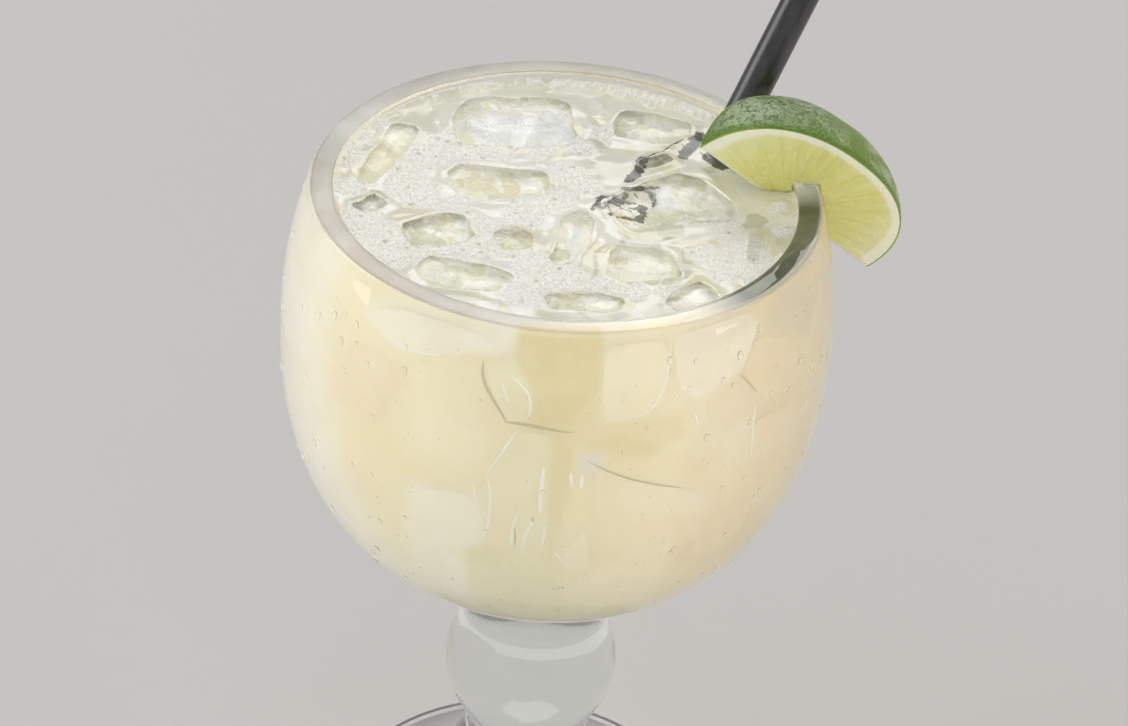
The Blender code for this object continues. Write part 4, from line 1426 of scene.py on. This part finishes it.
def measure_lime(mesh):
    """Writes where each vertex lies in the wedge, and returns their depths and their distances to a cut."""
    along, near, inward = lime_axes()
    far = near * math.cos(LIME_WEDGE_ANGLE) + inward * math.sin(LIME_WEDGE_ANGLE)
    depths, cores, edges, tips, polar = [], [], [], [], []
    for vert in mesh.vertices:
        offset = vert.co - LIME_CENTRE
        s = offset.dot(along)
        r = (offset - along * s).length
        depths.append(skin_depth(s, r))
        cores.append(r)
        tips.append(abs(s) / LIME_HALF_LENGTH)
        turn = math.atan2(offset.dot(inward), offset.dot(near))
        edges.append(r * min(abs(turn), abs(LIME_WEDGE_ANGLE - turn)))
        side = FAR_FACE_SHIFT if abs(offset.dot(near)) < abs(offset.dot(far)) else 0.0
        turns = math.atan2(r, s) * VESICLE_CELL_TURNS
        polar.append((turns + side, math.hypot(s, r) / VESICLE_CELL_LENGTH))
    add_values(mesh, depth=depths, core=cores, edge=edges, tip=tips)
    uv = mesh.uv_layers.new(name="vesicles")
    for loop in mesh.loops:
        uv.data[loop.index].uv = polar[loop.vertex_index]
    return depths, edges


def make_lime():
    """The wedge, and the cutter of its place in the drink."""
    wedge = add_mesh("lime", *lime_mesh(), lime_flesh_look(), lime_skin_look())
    cut_away(wedge, [rim_ring()])
    depths, edges = measure_lime(wedge.data)
    along = lime_axes()[0]
    for face in wedge.data.polygons:
        face.use_smooth = True
        offset = face.center - LIME_CENTRE
        outward = (offset - along * offset.dot(along)).normalized()
        on_skin = all(depths[v] < SKIN_DEPTH and edges[v] > 1e-6 for v in face.vertices)
        by_skin = face.normal.dot(outward) > 0.6 and depths[face.vertices[0]] < 0.001
        face.material_index = 1 if on_skin or by_skin else 0
    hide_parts("lime_wedge")
    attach(wedge, "root")
    return add_mesh("lime_room", *lime_mesh(grow=-LIME_OVERLAP, relief=0.0))


# ---------------------------------------------------------------- condensation


def make_condensation():
    """Drops on the outside of the bowl: the large ones that stand out, and many small ones."""
    draw = random.Random(SEED + 1)
    rows = [(math.radians(turn), z * MM, size * MM) for turn, z, size in LARGE_DROPS]
    for _drop in range(DROP_COUNT):
        z = draw.uniform(*DROP_HEIGHTS)
        size = drawn_size(draw, DROP_SIZES, 4)
        rows.append((draw.uniform(-math.pi, math.pi), z, size))
    placings = []
    for turn, z, size in rows:
        out = Vector((math.cos(turn), math.sin(turn), 0.0))
        change = outer_radius(z + DROP_SLOPE_STEP) - outer_radius(z - DROP_SLOPE_STEP)
        slope = change / (2 * DROP_SLOPE_STEP)
        normal = (out - Vector((0.0, 0.0, slope))).normalized()
        side = Vector((-out.y, out.x, 0.0))
        down = normal.cross(side)
        length = draw.uniform(*DROP_LENGTHS)
        axes = [side * size * DROP_WIDTH, down * size * length, normal * size * DROP_THICKNESS]
        placings.append((np.array(out * outer_radius(z) + Vector((0.0, 0.0, z))), np.array(axes)))
    drops = joined("condensation", 8, 14, placings, water_look())
    drops.visible_shadow = False
    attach(drops, "root")


# ---------------------------------------------------------------- studio


def make_camera():
    target = Vector((0.0, 0.0, GLASS_HEIGHT))
    seat = Vector((0.0, -math.cos(CAMERA_ELEVATION), math.sin(CAMERA_ELEVATION))) * CAMERA_DISTANCE
    forward = Vector((math.sin(CAMERA_YAW), math.cos(CAMERA_YAW), 0.0)) * math.cos(CAMERA_TILT)
    forward.z = -math.sin(CAMERA_TILT)
    level = forward.cross(Vector((0.0, 0.0, 1.0))).normalized()
    raised = level.cross(forward)
    right = level * math.cos(CAMERA_ROLL) + raised * math.sin(CAMERA_ROLL)
    up = raised * math.cos(CAMERA_ROLL) - level * math.sin(CAMERA_ROLL)
    turn = Matrix((right, up, -forward)).transposed().to_4x4()
    data = bpy.data.cameras.new("camera")
    data.sensor_width = SENSOR_WIDTH
    data.lens = SENSOR_WIDTH * CAMERA_FOCAL_PIXELS / IMAGE_WIDTH
    camera = bpy.data.objects.new("camera", data)
    bpy.context.scene.collection.objects.link(camera)
    camera.matrix_world = Matrix.Translation(target + seat) @ turn
    bpy.context.scene.camera = camera


def softbox(name, place, aim, width, height, power, colour=(1.0, 1.0, 1.0), mirrored=True):
    """A soft lamp. One that isn't mirrored lights the scene but shows in no reflection."""
    data = bpy.data.lights.new(name, "AREA")
    data.shape = "RECTANGLE"
    data.size = width
    data.size_y = height
    data.energy = power
    data.color = colour
    light = bpy.data.objects.new(name, data)
    bpy.context.scene.collection.objects.link(light)
    light.location = place
    light.rotation_euler = (Vector(aim) - Vector(place)).to_track_quat("-Z", "Y").to_euler()
    light.visible_glossy = mirrored


def make_studio():
    floor = add_mesh("floor", [(-3, -3, 0), (3, -3, 0), (3, 3, 0), (-3, 3, 0)], [(0, 1, 2, 3)], floor_look())
    bowl = (0.0, 0.0, 0.13)
    softbox("left_softbox", (-0.85, 0.05, 0.38), bowl, 0.5, 0.9, 3.0, (0.96, 0.94, 1.0))
    softbox("back_softbox", (0.1, 0.85, 0.95), bowl, 0.9, 0.5, 4.2)
    softbox("right_softbox", (0.9, -0.20, 0.38), bowl, 0.4, 0.7, 2.6, (1.0, 0.90, 0.84))
    softbox("front_softbox", (-0.20, -1.1, 0.25), bowl, 0.9, 0.5, 3.4, (1.0, 0.99, 0.97), mirrored=False)
    softbox("low_softbox", (-0.55, -0.8, 0.06), bowl, 0.9, 0.12, 0.4, (0.98, 0.98, 1.0), mirrored=False)
    world = bpy.data.worlds.new("studio")
    world.use_nodes = True
    world.node_tree.nodes["Background"].inputs["Color"].default_value = (0.875, 0.87, 0.855, 1.0)
    world.node_tree.nodes["Background"].inputs["Strength"].default_value = 0.5
    bpy.context.scene.world = world
    bpy.context.scene.view_settings.view_transform = "Standard"
    bpy.context.scene.cycles.max_bounces = 24
    bpy.context.scene.cycles.glossy_bounces = 20
    bpy.context.scene.cycles.transmission_bounces = 20


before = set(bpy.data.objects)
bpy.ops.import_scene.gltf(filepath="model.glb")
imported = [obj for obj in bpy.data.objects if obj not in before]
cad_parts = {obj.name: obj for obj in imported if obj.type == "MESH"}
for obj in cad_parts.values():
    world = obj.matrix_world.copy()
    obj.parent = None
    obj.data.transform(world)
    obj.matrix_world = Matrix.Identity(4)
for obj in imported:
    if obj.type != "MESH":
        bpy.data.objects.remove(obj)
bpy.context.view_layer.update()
make_camera()
make_studio()
make_glass()
drink_surface = make_drink(make_ice(), make_sunk_ice(), make_straw(), make_lime())
make_foam(drink_surface)
make_creases()
make_condensation()
